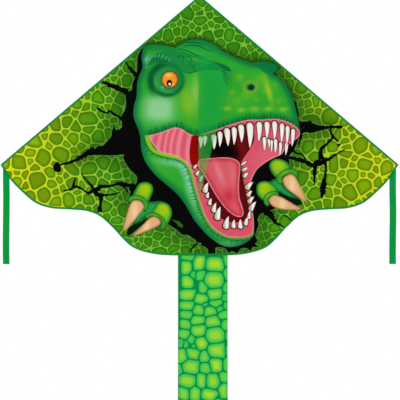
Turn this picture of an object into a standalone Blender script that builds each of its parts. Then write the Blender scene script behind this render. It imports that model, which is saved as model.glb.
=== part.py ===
"""Single-line delta kite with a keel, a wide centre tail and two wing-tip ribbons.

Frame: the nose of the sail is at the origin, +Z is up along the spine, +X is towards the wing that is on
the right when the printed side is seen, and the printed side faces -Y. All sizes are in metres.
"""

import math

import bmesh
import bpy
from mathutils import Matrix, Vector

# ---------------------------------------------------------------- driving dimensions
HALF_SPAN = 0.600  # nose to wing tip, sideways
TIP_DROP = 0.510  # nose to wing tip, downwards
SAIL_HEIGHT = 0.784  # nose to the middle of the trailing edge
CLOTH = 0.0008  # thickness given to each layer of sail cloth
GAP = 0.0003  # clearance between neighbouring solids
ROD_RADIUS = 0.0020
HOLE_RADIUS = 0.0023  # of every sleeve, tube and cap that a rod lies in
ROD_DEPTH = 0.0044  # the rods' centre lines lie this far behind the sail's mid-plane
SLEEVE_RADIUS = 0.0031
CONNECTOR_RADIUS = 0.0036
HINGE_X = 0.0070  # a wing folds along a line this far from the middle
SPREADER_DROP = 0.300  # nose to the cross spar
TAIL_WIDTH = 0.150
TAIL_LENGTH = 1.000
TAIL_SHIFT = 0.010  # the tail is sewn on a little to one side
RIBBON_WIDTH = 0.020
RIBBON_LENGTH = 0.290
RIBBON_X = 0.583
RIBBON_TOP = -0.520
KEEL_TOP = -0.175
KEEL_BOTTOM = -0.605
TOW_POINT = (0.095, -0.238)  # the keel's free corner, x and z, with the keel laid over to the right
KEEL_HINGE_Y = -0.0024

# ---------------------------------------------------------------- derived places
SAIL_FRONT = -CLOTH / 2
SAIL_BACK = CLOTH / 2
BEHIND = SAIL_BACK + GAP  # the first free depth behind the sail
EDGE_LENGTH = math.hypot(HALF_SPAN, TIP_DROP)
EDGE_ALONG = Vector((HALF_SPAN, 0.0, -TIP_DROP)) / EDGE_LENGTH  # down the right leading edge
EDGE_INWARD = Vector((-TIP_DROP, 0.0, -HALF_SPAN)) / EDGE_LENGTH  # square to it, into the sail
ROD_INSET = 0.0042  # leading-edge rod's centre line, in from the sail's edge
SLEEVE_WIDTH = 0.0080
FLANGE_WIDTH = 0.0130
WINDOW_HALF = 0.0200  # half the gap in the sleeve that the connector sits in
SLEEVE_START = 0.040  # along the leading edge, from the nose
SLEEVE_END = 0.748
ROD_START = 0.050
ROD_END = 0.774
POCKET_END = 0.7865
HEM_WIDTH = 0.0050
SEAM_GAP = 0.0006  # from the fold line to each layer's edge
CONNECTOR_E = (SPREADER_DROP + ROD_INSET * EDGE_INWARD.z) / -EDGE_ALONG.z
CONNECTOR_X = (EDGE_ALONG * CONNECTOR_E + EDGE_INWARD * ROD_INSET).x

ROUND_SIDES = 16


# ---------------------------------------------------------------- materials and small helpers
def material(name, colour, roughness, metallic=0.0):
    made = bpy.data.materials.new(name)
    made.use_nodes = True
    shader = made.node_tree.nodes["Principled BSDF"]
    shader.inputs["Base Color"].default_value = (*colour, 1.0)
    shader.inputs["Roughness"].default_value = roughness
    shader.inputs["Metallic"].default_value = metallic
    return made


def clear_scene():
    for old in list(bpy.data.objects):
        bpy.data.objects.remove(old)


def body(name, place=(0.0, 0.0, 0.0)):
    """An empty on a joint's axis, which the pieces of that body are parented to."""
    empty = bpy.data.objects.new(name, None)
    empty.location = place
    bpy.context.scene.collection.objects.link(empty)
    return empty


def link(name, data, matrix, finish, parent):
    made = bpy.data.objects.new(name, data)
    data.materials.append(finish)
    bpy.context.scene.collection.objects.link(made)
    bpy.context.view_layer.update()
    if parent is not None:
        made.parent = parent
        made.matrix_parent_inverse = Matrix.Translation(parent.location).inverted()
    made.matrix_world = matrix
    return made


def axes(origin, u, v, w):
    """A matrix that carries local x, y and z onto u, v and w, from origin."""
    turn = Matrix((u, v, w)).transposed().to_4x4()
    return Matrix.Translation(origin) @ turn


def prism(name, loops, length, matrix, finish, parent):
    """A flat outline, with any holes, extruded evenly to both sides of its own plane."""
    flat = bpy.data.curves.new(name, "CURVE")
    flat.dimensions = "2D"
    flat.fill_mode = "BOTH"
    flat.extrude = length / 2
    for loop in loops:
        spline = flat.splines.new("POLY")
        spline.points.add(len(loop) - 1)
        for point, (u, v) in zip(spline.points, loop):
            point.co = (u, v, 0.0, 1.0)
        spline.use_cyclic_u = True
    return link(name, flat, matrix, finish, parent)


def block(name, outline, length, matrix, finish, parent):
    """The same as a prism without holes, as a mesh, so that it can be drilled."""
    mesh = bpy.data.meshes.new(name)
    shape = bmesh.new()
    corners = [shape.verts.new((u, v, -length / 2)) for u, v in outline]
    face = shape.faces.new(corners)
    grown = bmesh.ops.extrude_face_region(shape, geom=[face])
    moved = [item for item in grown["geom"] if isinstance(item, bmesh.types.BMVert)]
    bmesh.ops.translate(shape, verts=moved, vec=(0.0, 0.0, length))
    bmesh.ops.recalc_face_normals(shape, faces=shape.faces)
    shape.to_mesh(mesh)
    shape.free()
    return link(name, mesh, matrix, finish, parent)


def sheet(name, outline, y_front, y_back, finish, parent, holes=()):
    """A panel parallel to the sail: outline is a list of x and z."""
    middle = Vector((0.0, (y_front + y_back) / 2, 0.0))
    upright = axes(middle, Vector((1, 0, 0)), Vector((0, 0, 1)), Vector((0, -1, 0)))
    return prism(name, [outline, *holes], y_back - y_front, upright, finish, parent)


def cylinder(name, start, end, radius, finish, parent, sides=ROUND_SIDES):
    """A straight round bar from start to end."""
    mesh = bpy.data.meshes.new(name)
    shape = bmesh.new()
    length = (end - start).length
    bmesh.ops.create_cone(
        shape, cap_ends=True, segments=sides, radius1=radius, radius2=radius, depth=length
    )
    shape.to_mesh(mesh)
    shape.free()
    mesh.shade_smooth()
    mesh.set_sharp_from_angle(angle=math.radians(40))
    turn = (end - start).to_track_quat("Z", "Y").to_matrix().to_4x4()
    return link(name, mesh, Matrix.Translation((start + end) / 2) @ turn, finish, parent)


def combine(target, operation, *tools):
    """Joins tools to target, or cuts them out of it. The tools are left as hidden helpers."""
    for tool in tools:
        tool.hide_render = True
        tool.display_type = "WIRE"
        step = target.modifiers.new(tool.name, "BOOLEAN")
        step.operation = operation
        step.object = tool


def circle(centre, radius, sides=ROUND_SIDES):
    turns = [2 * math.pi * (i + 0.5) / sides for i in range(sides)]
    return [(centre[0] + radius * math.cos(t), centre[1] + radius * math.sin(t)) for t in turns]


def smooth_path(points, steps=6):
    """A smooth curve through the points, as a Catmull-Rom spline."""
    ends = [points[0], *points, points[-1]]
    path = []
    for before, a, b, after in zip(ends, ends[1:], ends[2:], ends[3:]):
        for step in range(steps):
            t = step / steps
            weights = (
                (-t + 2 * t**2 - t**3) / 2,
                (2 - 5 * t**2 + 3 * t**3) / 2,
                (t + 4 * t**2 - 3 * t**3) / 2,
                (-(t**2) + t**3) / 2,
            )
            corners = (before, a, b, after)
            path.append(tuple(sum(k * c[axis] for k, c in zip(weights, corners)) for axis in (0, 1)))
    return [*path, points[-1]]


def offset_path(path, distance):
    """The path moved square to itself: to its left when distance is positive."""
    moved = []
    last = len(path) - 1
    for i, (x, z) in enumerate(path):
        ahead = path[min(i + 1, last)]
        behind = path[max(i - 1, 0)]
        run = math.hypot(ahead[0] - behind[0], ahead[1] - behind[1])
        across = (-(ahead[1] - behind[1]) / run, (ahead[0] - behind[0]) / run)
        moved.append((x + distance * across[0], z + distance * across[1]))
    return moved


# ---------------------------------------------------------------- the sail's outline
def trailing_edge():
    """The right half of the trailing edge, from the wing tip to the middle."""
    return smooth_path(
        [
            (HALF_SPAN, -TIP_DROP),
            (0.569, -0.556),
            (0.534, -0.593),
            (0.495, -0.625),
            (0.448, -0.641),
            (0.392, -0.645),
            (0.340, -0.650),
            (0.300, -0.666),
            (0.262, -0.700),
            (0.228, -0.737),
            (0.200, -0.760),
            (0.158, -0.775),
            (0.100, -0.783),
            (0.000, -SAIL_HEIGHT),
        ]
    )


def inset(x, z):
    """How far a point lies in from the right leading edge."""
    return x * EDGE_INWARD.x + z * EDGE_INWARD.z


def clip(path, least_inset, least_x):
    """The stretch of a path that is far enough in from the leading edge and out from the middle."""

    def room(p):
        return min(inset(*p) - least_inset, p[0] - least_x)

    kept = []
    for a, b in zip(path, path[1:]):
        ra, rb = room(a), room(b)
        if ra >= 0:
            kept.append(a)
        if (ra < 0) != (rb < 0):
            t = ra / (ra - rb)
            kept.append((a[0] + t * (b[0] - a[0]), a[1] + t * (b[1] - a[1])))
    if room(path[-1]) >= 0:
        kept.append(path[-1])
    return kept


def mirrored(outline, side):
    """The outline for the right wing, side 1, or the left, side -1."""
    return [(side * x, z) for x, z in outline]


def edge_point(e, n):
    """x and z of a point e down the right leading edge and n in from it."""
    p = EDGE_ALONG * e + EDGE_INWARD * n
    return (p.x, p.z)


def edge_frame(e, side):
    """A matrix with local x into the sail, local y to its back and local z along the leading edge."""
    flip = Vector((side, 1, 1))
    inward = EDGE_INWARD * flip
    backward = Vector((0, 1, 0))
    return axes(EDGE_ALONG * e * flip, inward, backward, inward.cross(backward))


# ---------------------------------------------------------------- profiles
def arc(centre, radius, start, end, steps=8):
    turns = [math.radians(start + (end - start) * i / steps) for i in range(steps + 1)]
    return [(centre[0] + radius * math.cos(t), centre[1] + radius * math.sin(t)) for t in turns]


def leading_sleeve_profile():
    """Cloth turned over the rod and sewn down behind the sail: inset across, depth up."""
    centre = (ROD_INSET, ROD_DEPTH)
    return [
        (0.0002, SAIL_FRONT),
        (SLEEVE_WIDTH, SAIL_FRONT),
        (SLEEVE_WIDTH, BEHIND),
        (FLANGE_WIDTH, BEHIND),
        (FLANGE_WIDTH, BEHIND + CLOTH),
        (SLEEVE_WIDTH, BEHIND + CLOTH),
        *arc(centre, SLEEVE_RADIUS, 0, 180),
        (0.0002, 0.0020),
    ]


def spine_sleeve_profile():
    """A strip of cloth sewn down on both sides of the spine rod, seen from above."""
    flange = HINGE_X - SEAM_GAP
    return [
        (-flange, BEHIND),
        (flange, BEHIND),
        (flange, BEHIND + CLOTH),
        (SLEEVE_RADIUS, BEHIND + CLOTH),
        *arc((0.0, ROD_DEPTH), SLEEVE_RADIUS, 0, 180),
        (-SLEEVE_RADIUS, BEHIND + CLOTH),
        (-flange, BEHIND + CLOTH),
    ]


# ---------------------------------------------------------------- the middle of the kite
def level_frame(z):
    """For prisms that stand upright: local x is +X, local y is +Y."""
    return axes(Vector((0, 0, z)), Vector((1, 0, 0)), Vector((0, 1, 0)), Vector((0, 0, 1)))


def spine_sleeve(name, top, bottom, finish, parent):
    loops = [spine_sleeve_profile(), circle((0.0, ROD_DEPTH), HOLE_RADIUS)]
    prism(name, loops, top - bottom, level_frame((top + bottom) / 2), finish, parent)


def spine_pocket(name, top, bottom, finish, parent):
    """Folded webbing, sewn behind the sail over one end of the spine."""
    half = HINGE_X - SEAM_GAP
    back = ROD_DEPTH + 0.0040
    outline = [
        (-half, BEHIND),
        (half, BEHIND),
        (half, 0.0030),
        (0.0046, back),
        (-0.0046, back),
        (-half, 0.0030),
    ]
    return block(name, outline, top - bottom, level_frame((top + bottom) / 2), finish, parent)


def blind_hole(target, bottom, depth, radius):
    """Cuts an upright round hole that starts at bottom, centred on the spine rod."""
    start, end = bottom, bottom + depth
    drill = cylinder(
        target.name + "_drill",
        Vector((0, ROD_DEPTH, start)),
        Vector((0, ROD_DEPTH, end)),
        radius,
        target.data.materials[0],
        None,
    )
    combine(target, "DIFFERENCE", drill)


def build_spine(finish):
    root = body("spine_body")
    strip = HINGE_X - SEAM_GAP
    nose_z = -strip * TIP_DROP / HALF_SPAN
    strip_outline = [
        (0.0, 0.0),
        (strip, nose_z),
        (strip, -SAIL_HEIGHT),
        (-strip, -SAIL_HEIGHT),
        (-strip, nose_z),
    ]
    sheet("centre_strip", strip_outline, SAIL_FRONT, SAIL_BACK, finish["cloth"], root)
    rod_top, rod_bottom = -0.014, -0.770
    cylinder(
        "spine_rod",
        Vector((0, ROD_DEPTH, rod_bottom)),
        Vector((0, ROD_DEPTH, rod_top)),
        ROD_RADIUS,
        finish["rod"],
        root,
    )
    opening = 0.018
    pocket_top, pocket_bottom = -0.008, -0.044
    end_pocket_top, end_pocket_bottom = -0.742, -0.780
    spine_sleeve("spine_sleeve_upper", pocket_bottom - GAP, -SPREADER_DROP + opening, finish["sleeve"], root)
    spine_sleeve("spine_sleeve_lower", -SPREADER_DROP - opening, end_pocket_top + GAP, finish["sleeve"], root)
    nose = spine_pocket("nose_pocket", pocket_top, pocket_bottom, finish["webbing"], root)
    blind_hole(nose, pocket_bottom - 0.002, 0.0345, HOLE_RADIUS)
    foot = spine_pocket("spine_end_pocket", end_pocket_top, end_pocket_bottom, finish["webbing"], root)
    cap_radius = 0.0029
    blind_hole(foot, end_pocket_bottom + 0.002, 0.050, cap_radius + GAP)
    cap = cylinder(
        "spine_end_cap",
        Vector((0, ROD_DEPTH, -0.7775)),
        Vector((0, ROD_DEPTH, -0.7560)),
        cap_radius,
        finish["vinyl"],
        root,
    )
    blind_hole(cap, -0.7703, 0.020, HOLE_RADIUS)
    build_cross_tube(finish, root)
    tape = 0.0050
    tape_outline = [(-tape, KEEL_TOP), (tape, KEEL_TOP), (tape, KEEL_BOTTOM), (-tape, KEEL_BOTTOM)]
    sheet("keel_seam_tape", tape_outline, SAIL_FRONT - GAP - 0.0004, SAIL_FRONT - GAP, finish["tape"], root)
    return root


def build_cross_tube(finish, root):
    """A soft vinyl tube that the spine passes through; each half of the spreader plugs into one end."""
    half = 0.038
    height = Vector((0, ROD_DEPTH, -SPREADER_DROP))
    side = Vector((half, 0, 0))
    over = Vector((0.002, 0, 0))
    tube = cylinder("cross_tube", height - side, height + side, CONNECTOR_RADIUS, finish["vinyl"], root)
    along = cylinder(
        "cross_tube_bore", height - side - over, height + side + over, HOLE_RADIUS, finish["vinyl"], None
    )
    up = Vector((0, 0, 0.010))
    across = cylinder("cross_tube_punch", height - up, height + up, HOLE_RADIUS, finish["vinyl"], None)
    combine(tube, "DIFFERENCE", along, across)


# ---------------------------------------------------------------- one wing
def rod_point(e, side, depth=ROD_DEPTH):
    x, z = edge_point(e, ROD_INSET)
    return Vector((side * x, depth, z))


def build_wing(label, side, finish):
    wing = body(label + "_wing_body", (side * HINGE_X, 0.0, 0.0))
    edge = trailing_edge()
    panel_x = HINGE_X + SEAM_GAP
    hem_x = HINGE_X + 2 * SEAM_GAP
    inner_edge = offset_path(edge, -HEM_WIDTH - GAP)
    panel_inset = SLEEVE_WIDTH + GAP
    lower = clip(inner_edge, panel_inset, panel_x)
    top = (panel_x, -(panel_inset + panel_x * -EDGE_INWARD.x) / -EDGE_INWARD.z)
    sheet(label + "_sail", mirrored([top, *lower], side), SAIL_FRONT, SAIL_BACK, finish["cloth"], wing)
    hem_outer = clip(edge, panel_inset, hem_x)
    hem_inner = clip(offset_path(edge, -HEM_WIDTH), panel_inset, hem_x)
    hem_half = 0.0006
    hem = mirrored([*hem_outer, *reversed(hem_inner)], side)
    sheet(label + "_trailing_hem", hem, -hem_half, hem_half, finish["tape"], wing)
    build_leading_edge(label, side, finish, wing)
    build_connector(label, side, finish, wing)
    inner, outer = 0.023, CONNECTOR_X - 0.0120
    cylinder(
        label + "_spreader",
        Vector((side * inner, ROD_DEPTH, -SPREADER_DROP)),
        Vector((side * outer, ROD_DEPTH, -SPREADER_DROP)),
        ROD_RADIUS,
        finish["rod"],
        wing,
    )
    return wing


def build_leading_edge(label, side, finish, wing):
    rod_hole = circle((ROD_INSET, ROD_DEPTH), HOLE_RADIUS)
    profile = leading_sleeve_profile()
    stretches = {
        "upper": (SLEEVE_START, CONNECTOR_E - WINDOW_HALF),
        "lower": (CONNECTOR_E + WINDOW_HALF, SLEEVE_END),
    }
    for part, (start, end) in stretches.items():
        name = f"{label}_leading_sleeve_{part}"
        matrix = edge_frame((start + end) / 2, side)
        prism(name, [profile, rod_hole], end - start, matrix, finish["tape"], wing)
    cylinder(
        label + "_leading_rod",
        rod_point(ROD_START, side),
        rod_point(ROD_END - 0.003, side),
        ROD_RADIUS,
        finish["rod"],
        wing,
    )
    cap_radius = 0.0029
    cap = cylinder(
        label + "_tip_cap",
        rod_point(ROD_END - 0.018, side),
        rod_point(ROD_END, side),
        cap_radius,
        finish["vinyl"],
        wing,
    )
    cap_hole = cylinder(
        label + "_tip_cap_drill",
        rod_point(ROD_END - 0.020, side),
        rod_point(ROD_END - 0.0027, side),
        HOLE_RADIUS,
        finish["vinyl"],
        None,
    )
    combine(cap, "DIFFERENCE", cap_hole)
    pocket_profile = [
        (0.0004, SAIL_FRONT),
        (SLEEVE_WIDTH, SAIL_FRONT),
        (SLEEVE_WIDTH, 0.0060),
        (0.0064, 0.0083),
        (0.0022, 0.0083),
        (0.0004, 0.0060),
    ]
    pocket_start = SLEEVE_END + GAP
    matrix = edge_frame((pocket_start + POCKET_END) / 2, side)
    pocket_name = label + "_tip_pocket"
    pocket = block(pocket_name, pocket_profile, POCKET_END - pocket_start, matrix, finish["webbing"], wing)
    pocket_hole = cylinder(
        label + "_tip_pocket_drill",
        rod_point(SLEEVE_END - 0.002, side),
        rod_point(ROD_END + GAP, side),
        cap_radius + GAP,
        finish["webbing"],
        None,
    )
    combine(pocket, "DIFFERENCE", pocket_hole)
    beside_sleeve = FLANGE_WIDTH + 2 * GAP
    beside_pocket = SLEEVE_WIDTH + 2 * GAP
    patch = [
        edge_point(0.705, beside_sleeve),
        edge_point(SLEEVE_END + GAP, beside_sleeve),
        edge_point(SLEEVE_END + 0.0010, beside_pocket),
        edge_point(POCKET_END - 0.0100, beside_pocket),
        (0.5800, -0.5230),
        (0.5560, -0.5540),
    ]
    sheet(label + "_tip_patch", mirrored(patch, side), BEHIND, BEHIND + 0.0004, finish["webbing"], wing)


def build_connector(label, side, finish, wing):
    """A moulded T: its barrel sits on the leading-edge rod, its arm takes the spreader's outer end."""
    half_barrel = 0.012
    barrel = cylinder(
        label + "_connector",
        rod_point(CONNECTOR_E - half_barrel, side),
        rod_point(CONNECTOR_E + half_barrel, side),
        CONNECTOR_RADIUS,
        finish["plastic"],
        wing,
    )
    centre = Vector((side * CONNECTOR_X, ROD_DEPTH, -SPREADER_DROP))
    inward = Vector((-side, 0, 0))
    arm = cylinder(
        label + "_connector_arm",
        centre,
        centre + inward * 0.034,
        CONNECTOR_RADIUS,
        finish["plastic"],
        None,
    )
    bore = cylinder(
        label + "_connector_bore",
        rod_point(CONNECTOR_E - half_barrel - 0.002, side),
        rod_point(CONNECTOR_E + half_barrel + 0.002, side),
        HOLE_RADIUS,
        finish["plastic"],
        None,
    )
    socket = cylinder(
        label + "_connector_socket",
        centre + inward * 0.0116,
        centre + inward * 0.036,
        HOLE_RADIUS,
        finish["plastic"],
        None,
    )
    combine(barrel, "UNION", arm)
    combine(barrel, "DIFFERENCE", bore, socket)


# ---------------------------------------------------------------- keel, tail and ribbons
def turned_ring(name, profile, matrix, finish, parent):
    """A ring turned from a closed profile of radius and height."""
    mesh = bpy.data.meshes.new(name)
    points = [(radius, 0.0, height) for radius, height in profile]
    mesh.from_pydata(points, [(i, (i + 1) % len(points)) for i in range(len(points))], [])
    made = link(name, mesh, matrix, finish, parent)
    spin = made.modifiers.new("Turn", "SCREW")
    spin.steps = spin.render_steps = 24
    spin.use_merge_vertices = True
    spin.merge_threshold = 0.00002
    return made


def build_keel(finish):
    keel = body("keel_body", (0.0, KEEL_HINGE_Y, 0.0))
    x, z = TOW_POINT
    seam = 0.0012
    half = CLOTH / 2
    eyelet = (x - 0.0105, z - 0.0035)
    barrel_radius = 0.0037
    hole = circle(eyelet, barrel_radius + GAP, 24)
    round_corner = [(x - 0.0040, z + 0.0030), (x - 0.0008, z + 0.0012), (x - 0.0005, z - 0.0030)]
    outline = [(seam, KEEL_TOP), *round_corner, (seam, KEEL_BOTTOM)]
    hinge_y = KEEL_HINGE_Y
    sheet("keel_fin", outline, hinge_y - half, hinge_y + half, finish["keel"], keel, [hole])
    patch = [(x - 0.030, z + 0.0150), *round_corner, (x - 0.0075, z - 0.0280)]
    for name, near, far in (
        ("keel_patch_right", hinge_y - half - GAP - 0.0004, hinge_y - half - GAP),
        ("keel_patch_left", hinge_y + half + GAP, hinge_y + half + GAP + 0.0004),
    ):
        sheet(name, patch, near, far, finish["webbing"], keel, [hole])
    build_eyelet(eyelet, barrel_radius, finish, keel)
    return keel


def build_eyelet(place, barrel_radius, finish, keel):
    """A metal eyelet and its washer, for the flying line's clip."""
    inner = 0.0031
    flange = 0.0052
    stack = CLOTH / 2 + GAP + 0.0004 + GAP  # from the keel's mid-plane to the flange's inner face
    plate = 0.0003
    upright = axes(
        Vector((place[0], KEEL_HINGE_Y, place[1])), Vector((1, 0, 0)), Vector((0, 0, 1)), Vector((0, -1, 0))
    )
    eyelet = [
        (inner, stack + plate),
        (flange, stack + plate),
        (flange, stack),
        (barrel_radius, stack),
        (barrel_radius, -stack - plate),
        (inner, -stack - plate),
    ]
    turned_ring("tow_eyelet", eyelet, upright, finish["brass"], keel)
    washer_inner = barrel_radius + GAP
    washer = [
        (washer_inner, -stack),
        (flange, -stack),
        (flange, -stack - plate),
        (washer_inner, -stack - plate),
    ]
    turned_ring("tow_eyelet_washer", washer, upright, finish["brass"], keel)


def build_tail(finish):
    top = -SAIL_HEIGHT - 0.0012
    y = BEHIND + CLOTH / 2
    tail = body("tail_body", (TAIL_SHIFT, y, top))
    left, right = TAIL_SHIFT - TAIL_WIDTH / 2, TAIL_SHIFT + TAIL_WIDTH / 2
    bottom = top - TAIL_LENGTH
    outline = [(left, top), (right, top), (right, bottom), (left, bottom)]
    sheet("centre_tail", outline, y - CLOTH / 2, y + CLOTH / 2, finish["tail"], tail)


def build_ribbon(label, side, finish):
    y_front = BEHIND + 0.0004 + GAP
    y = y_front + CLOTH / 2
    ribbon = body(label + "_ribbon_body", (side * RIBBON_X, y, RIBBON_TOP))
    inner, outer = RIBBON_X - RIBBON_WIDTH / 2, RIBBON_X + RIBBON_WIDTH / 2
    bottom = RIBBON_TOP - RIBBON_LENGTH
    outline = [(inner, RIBBON_TOP), (outer, RIBBON_TOP), (outer, bottom), (inner, bottom)]
    sheet(label + "_ribbon", mirrored(outline, side), y_front, y_front + CLOTH, finish["ribbon"], ribbon)


def main():
    clear_scene()
    finish = {
        "cloth": material("printed_cloth", (0.10, 0.32, 0.03), 0.75),
        "tape": material("edge_tape", (0.01, 0.25, 0.07), 0.80),
        "sleeve": material("sleeve_cloth", (0.02, 0.22, 0.06), 0.80),
        "webbing": material("webbing", (0.003, 0.09, 0.03), 0.85),
        "keel": material("keel_cloth", (0.0, 0.28, 0.06), 0.70),
        "tail": material("tail_cloth", (0.20, 0.60, 0.08), 0.75),
        "ribbon": material("ribbon_cloth", (0.0, 0.31, 0.05), 0.75),
        "rod": material("glass_fibre", (0.03, 0.03, 0.035), 0.35),
        "vinyl": material("vinyl", (0.02, 0.02, 0.02), 0.45),
        "plastic": material("moulded_plastic", (0.015, 0.015, 0.015), 0.40),
        "brass": material("brass", (0.75, 0.60, 0.30), 0.30, 1.0),
    }
    build_spine(finish)
    for label, side in (("left", -1), ("right", 1)):
        build_wing(label, side, finish)
        build_ribbon(label, side, finish)
    build_keel(finish)
    build_tail(finish)


main()
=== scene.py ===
"""Looks of a single-line delta kite with a dinosaur print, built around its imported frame.

The print is drawn here as flat shapes in millimetres, x to the right and z up from the kite's nose, and laid
on the cloth as colours. Everything else is in metres.
"""

import math
import random

import bmesh
import bpy
import numpy as np
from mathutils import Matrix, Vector
from mathutils.geometry import delaunay_2d_cdt


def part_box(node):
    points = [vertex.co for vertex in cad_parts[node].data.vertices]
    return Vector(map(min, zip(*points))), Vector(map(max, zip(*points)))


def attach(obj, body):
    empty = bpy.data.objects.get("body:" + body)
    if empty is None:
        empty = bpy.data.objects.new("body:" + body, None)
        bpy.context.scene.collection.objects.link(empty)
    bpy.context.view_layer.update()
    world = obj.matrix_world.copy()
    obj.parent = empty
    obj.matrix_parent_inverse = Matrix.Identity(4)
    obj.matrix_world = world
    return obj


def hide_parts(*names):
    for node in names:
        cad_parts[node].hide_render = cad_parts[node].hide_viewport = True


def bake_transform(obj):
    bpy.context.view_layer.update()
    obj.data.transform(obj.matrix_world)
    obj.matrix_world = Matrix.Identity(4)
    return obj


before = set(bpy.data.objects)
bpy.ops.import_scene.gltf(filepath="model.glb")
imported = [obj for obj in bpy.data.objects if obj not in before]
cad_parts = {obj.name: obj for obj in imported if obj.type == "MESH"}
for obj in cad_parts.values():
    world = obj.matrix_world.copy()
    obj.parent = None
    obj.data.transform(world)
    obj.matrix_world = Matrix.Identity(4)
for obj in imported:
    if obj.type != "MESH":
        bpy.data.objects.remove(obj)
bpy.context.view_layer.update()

# ---------------------------------------------------------------- sizes shared with the frame
rod_low, rod_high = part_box("spine_rod")
spreader_low, spreader_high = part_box("right_spreader")
tail_low, tail_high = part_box("centre_tail")
SAIL_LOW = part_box("centre_strip")[0].z
ROD_Y = (rod_low.y + rod_high.y) / 2
ROD_RADIUS = (rod_high.x - rod_low.x) / 2
SPREADER_Z = (spreader_low.z + spreader_high.z) / 2
SIDES = (("left", -1), ("right", 1))
HALF_STRIP = 0.0064
HALF_SPAN = 0.600
TIP_DROP = 0.510
EDGE_LENGTH = math.hypot(HALF_SPAN, TIP_DROP)
ALONG = Vector((HALF_SPAN, 0.0, -TIP_DROP)) / EDGE_LENGTH
INWARD = Vector((-TIP_DROP, 0.0, -HALF_SPAN)) / EDGE_LENGTH
ROD_INSET = 0.0042
MM = 0.001
SAIL_CLOTH = 0.00035
SLEEVE_CLOTH = 0.00034
HEM_CLOTH = 0.00026
CREASE = math.radians(50)

# ---------------------------------------------------------------- outlines of the print, in millimetres
# A point given twice is a sharp corner; all others lie on a smooth curve.
TRAILING_EDGE = [
    (600, -510), (569, -556), (534, -593), (495, -625), (448, -641), (392, -645), (340, -650), (300, -666),
    (262, -700), (228, -737), (200, -760), (158, -775), (100, -783), (0, -784),
]
HEAD = [
    (-173, -175), (-169, -160), (-156, -151), (-135, -148), (-108, -150), (-85, -155), (-72, -158),
    (-72, -158), (-58, -148), (-35, -136), (-8, -133), (19, -137), (44, -148), (69, -167), (100, -183),
    (131, -194), (158, -202), (177, -200), (200, -201), (224, -206), (224, -206), (235, -213), (233, -223),
    (221, -234), (221, -234), (238, -245), (256, -264), (271, -287), (283, -314), (290, -340), (297, -368),
    (300, -387), (303, -410), (301, -423), (293, -432), (278, -443), (260, -460), (248, -478), (232, -486),
    (217, -493), (194, -507), (174, -524), (164, -541), (156, -559), (152, -575), (154, -594), (157, -620),
    (159, -643), (163, -670), (164, -694), (164, -714), (155, -732), (140, -745), (117, -755), (90, -759),
    (67, -753), (44, -739), (21, -720), (-13, -681), (-28, -656), (-44, -629), (-61, -606), (-82, -585),
    (-105, -566), (-128, -546), (-147, -525), (-163, -502), (-172, -479), (-177, -456), (-178, -433),
    (-182, -412), (-190, -391), (-198, -371), (-200, -352), (-197, -329), (-190, -306), (-189, -283),
    (-188, -264), (-182, -241), (-175, -225), (-172, -210), (-175, -190),
]
HOLE = [
    (-193, -243), (-203, -266), (-205, -285), (-223, -293), (-222, -316), (-223, -334), (-228, -349),
    (-238, -366), (-235, -382), (-236, -398), (-253, -404), (-258, -384), (-261, -397), (-265, -409),
    (-267, -424), (-278, -437), (-292, -452), (-307, -453), (-319, -466), (-336, -476), (-352, -486),
    (-332, -482), (-315, -481), (-267, -482), (-227, -480), (-232, -487), (-217, -516), (-203, -532),
    (-190, -545), (-190, -562), (-198, -573), (-215, -582), (-209, -593), (-217, -624), (-186, -655),
    (-159, -670), (-124, -671), (-101, -686), (-90, -693), (-74, -703), (-63, -712), (-51, -722),
    (-36, -722), (-24, -730), (-13, -737), (-7, -745), (6, -747), (1, -754), (14, -757), (26, -767),
    (26, -778), (47, -779), (49, -761), (64, -759), (79, -764), (87, -776), (99, -771), (114, -777),
    (124, -764), (141, -762), (156, -771), (160, -760), (178, -758), (168, -748), (176, -741), (169, -725),
    (174, -706), (179, -691), (176, -675), (184, -660), (198, -653), (232, -639), (248, -601), (271, -524),
    (271, -486), (284, -470), (294, -447), (300, -430), (309, -418), (321, -412), (336, -415), (359, -409),
    (382, -403), (382, -398), (355, -389), (328, -380), (302, -377), (300, -355), (294, -332), (291, -320),
    (276, -305), (254, -260), (238, -244), (230, -234), (215, -229), (46, -187), (-138, -175), (-167, -158),
    (-178, -167), (-185, -179), (-188, -198), (-188, -221), (-192, -240),
]
MOUTH = [
    (-154, -421), (-154, -421), (-136, -418), (-117, -412), (-95, -404), (-78, -398), (-63, -399),
    (-49, -405), (-36, -414), (-20, -421), (-1, -421), (22, -414), (45, -406), (68, -398), (99, -387),
    (126, -379), (153, -374), (183, -374), (210, -372), (235, -372), (256, -377), (276, -385), (291, -395),
    (302, -408), (303, -418), (300, -425), (293, -432), (278, -443), (260, -460), (248, -478), (232, -486),
    (217, -493), (194, -507), (174, -524), (164, -541), (156, -559), (152, -575), (154, -594), (157, -620),
    (159, -643), (163, -670), (164, -694), (161, -714), (151, -725), (129, -730), (106, -730), (83, -727),
    (62, -717), (43, -703), (26, -682), (12, -654), (0, -617), (-11, -583), (-20, -544), (-29, -517),
    (-42, -502), (-59, -490), (-78, -482), (-101, -477), (-122, -469), (-139, -451), (-149, -435),
]
LIP = [
    (-167, -421), (-167, -421), (-154, -421), (-147, -441), (-137, -460), (-121, -468), (-99, -475),
    (-74, -481), (-53, -491), (-36, -504), (-26, -521), (-18, -546), (-9, -583), (3, -617), (16, -654),
    (30, -682), (47, -704), (68, -718), (91, -727), (122, -730), (151, -727), (163, -712), (165, -717),
    (158, -729), (141, -735), (114, -737), (87, -734), (62, -724), (39, -709), (22, -687), (6, -656),
    (-7, -621), (-18, -585), (-27, -548), (-35, -525), (-47, -507), (-67, -495), (-94, -489), (-124, -481),
    (-147, -468), (-161, -444),
]
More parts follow.
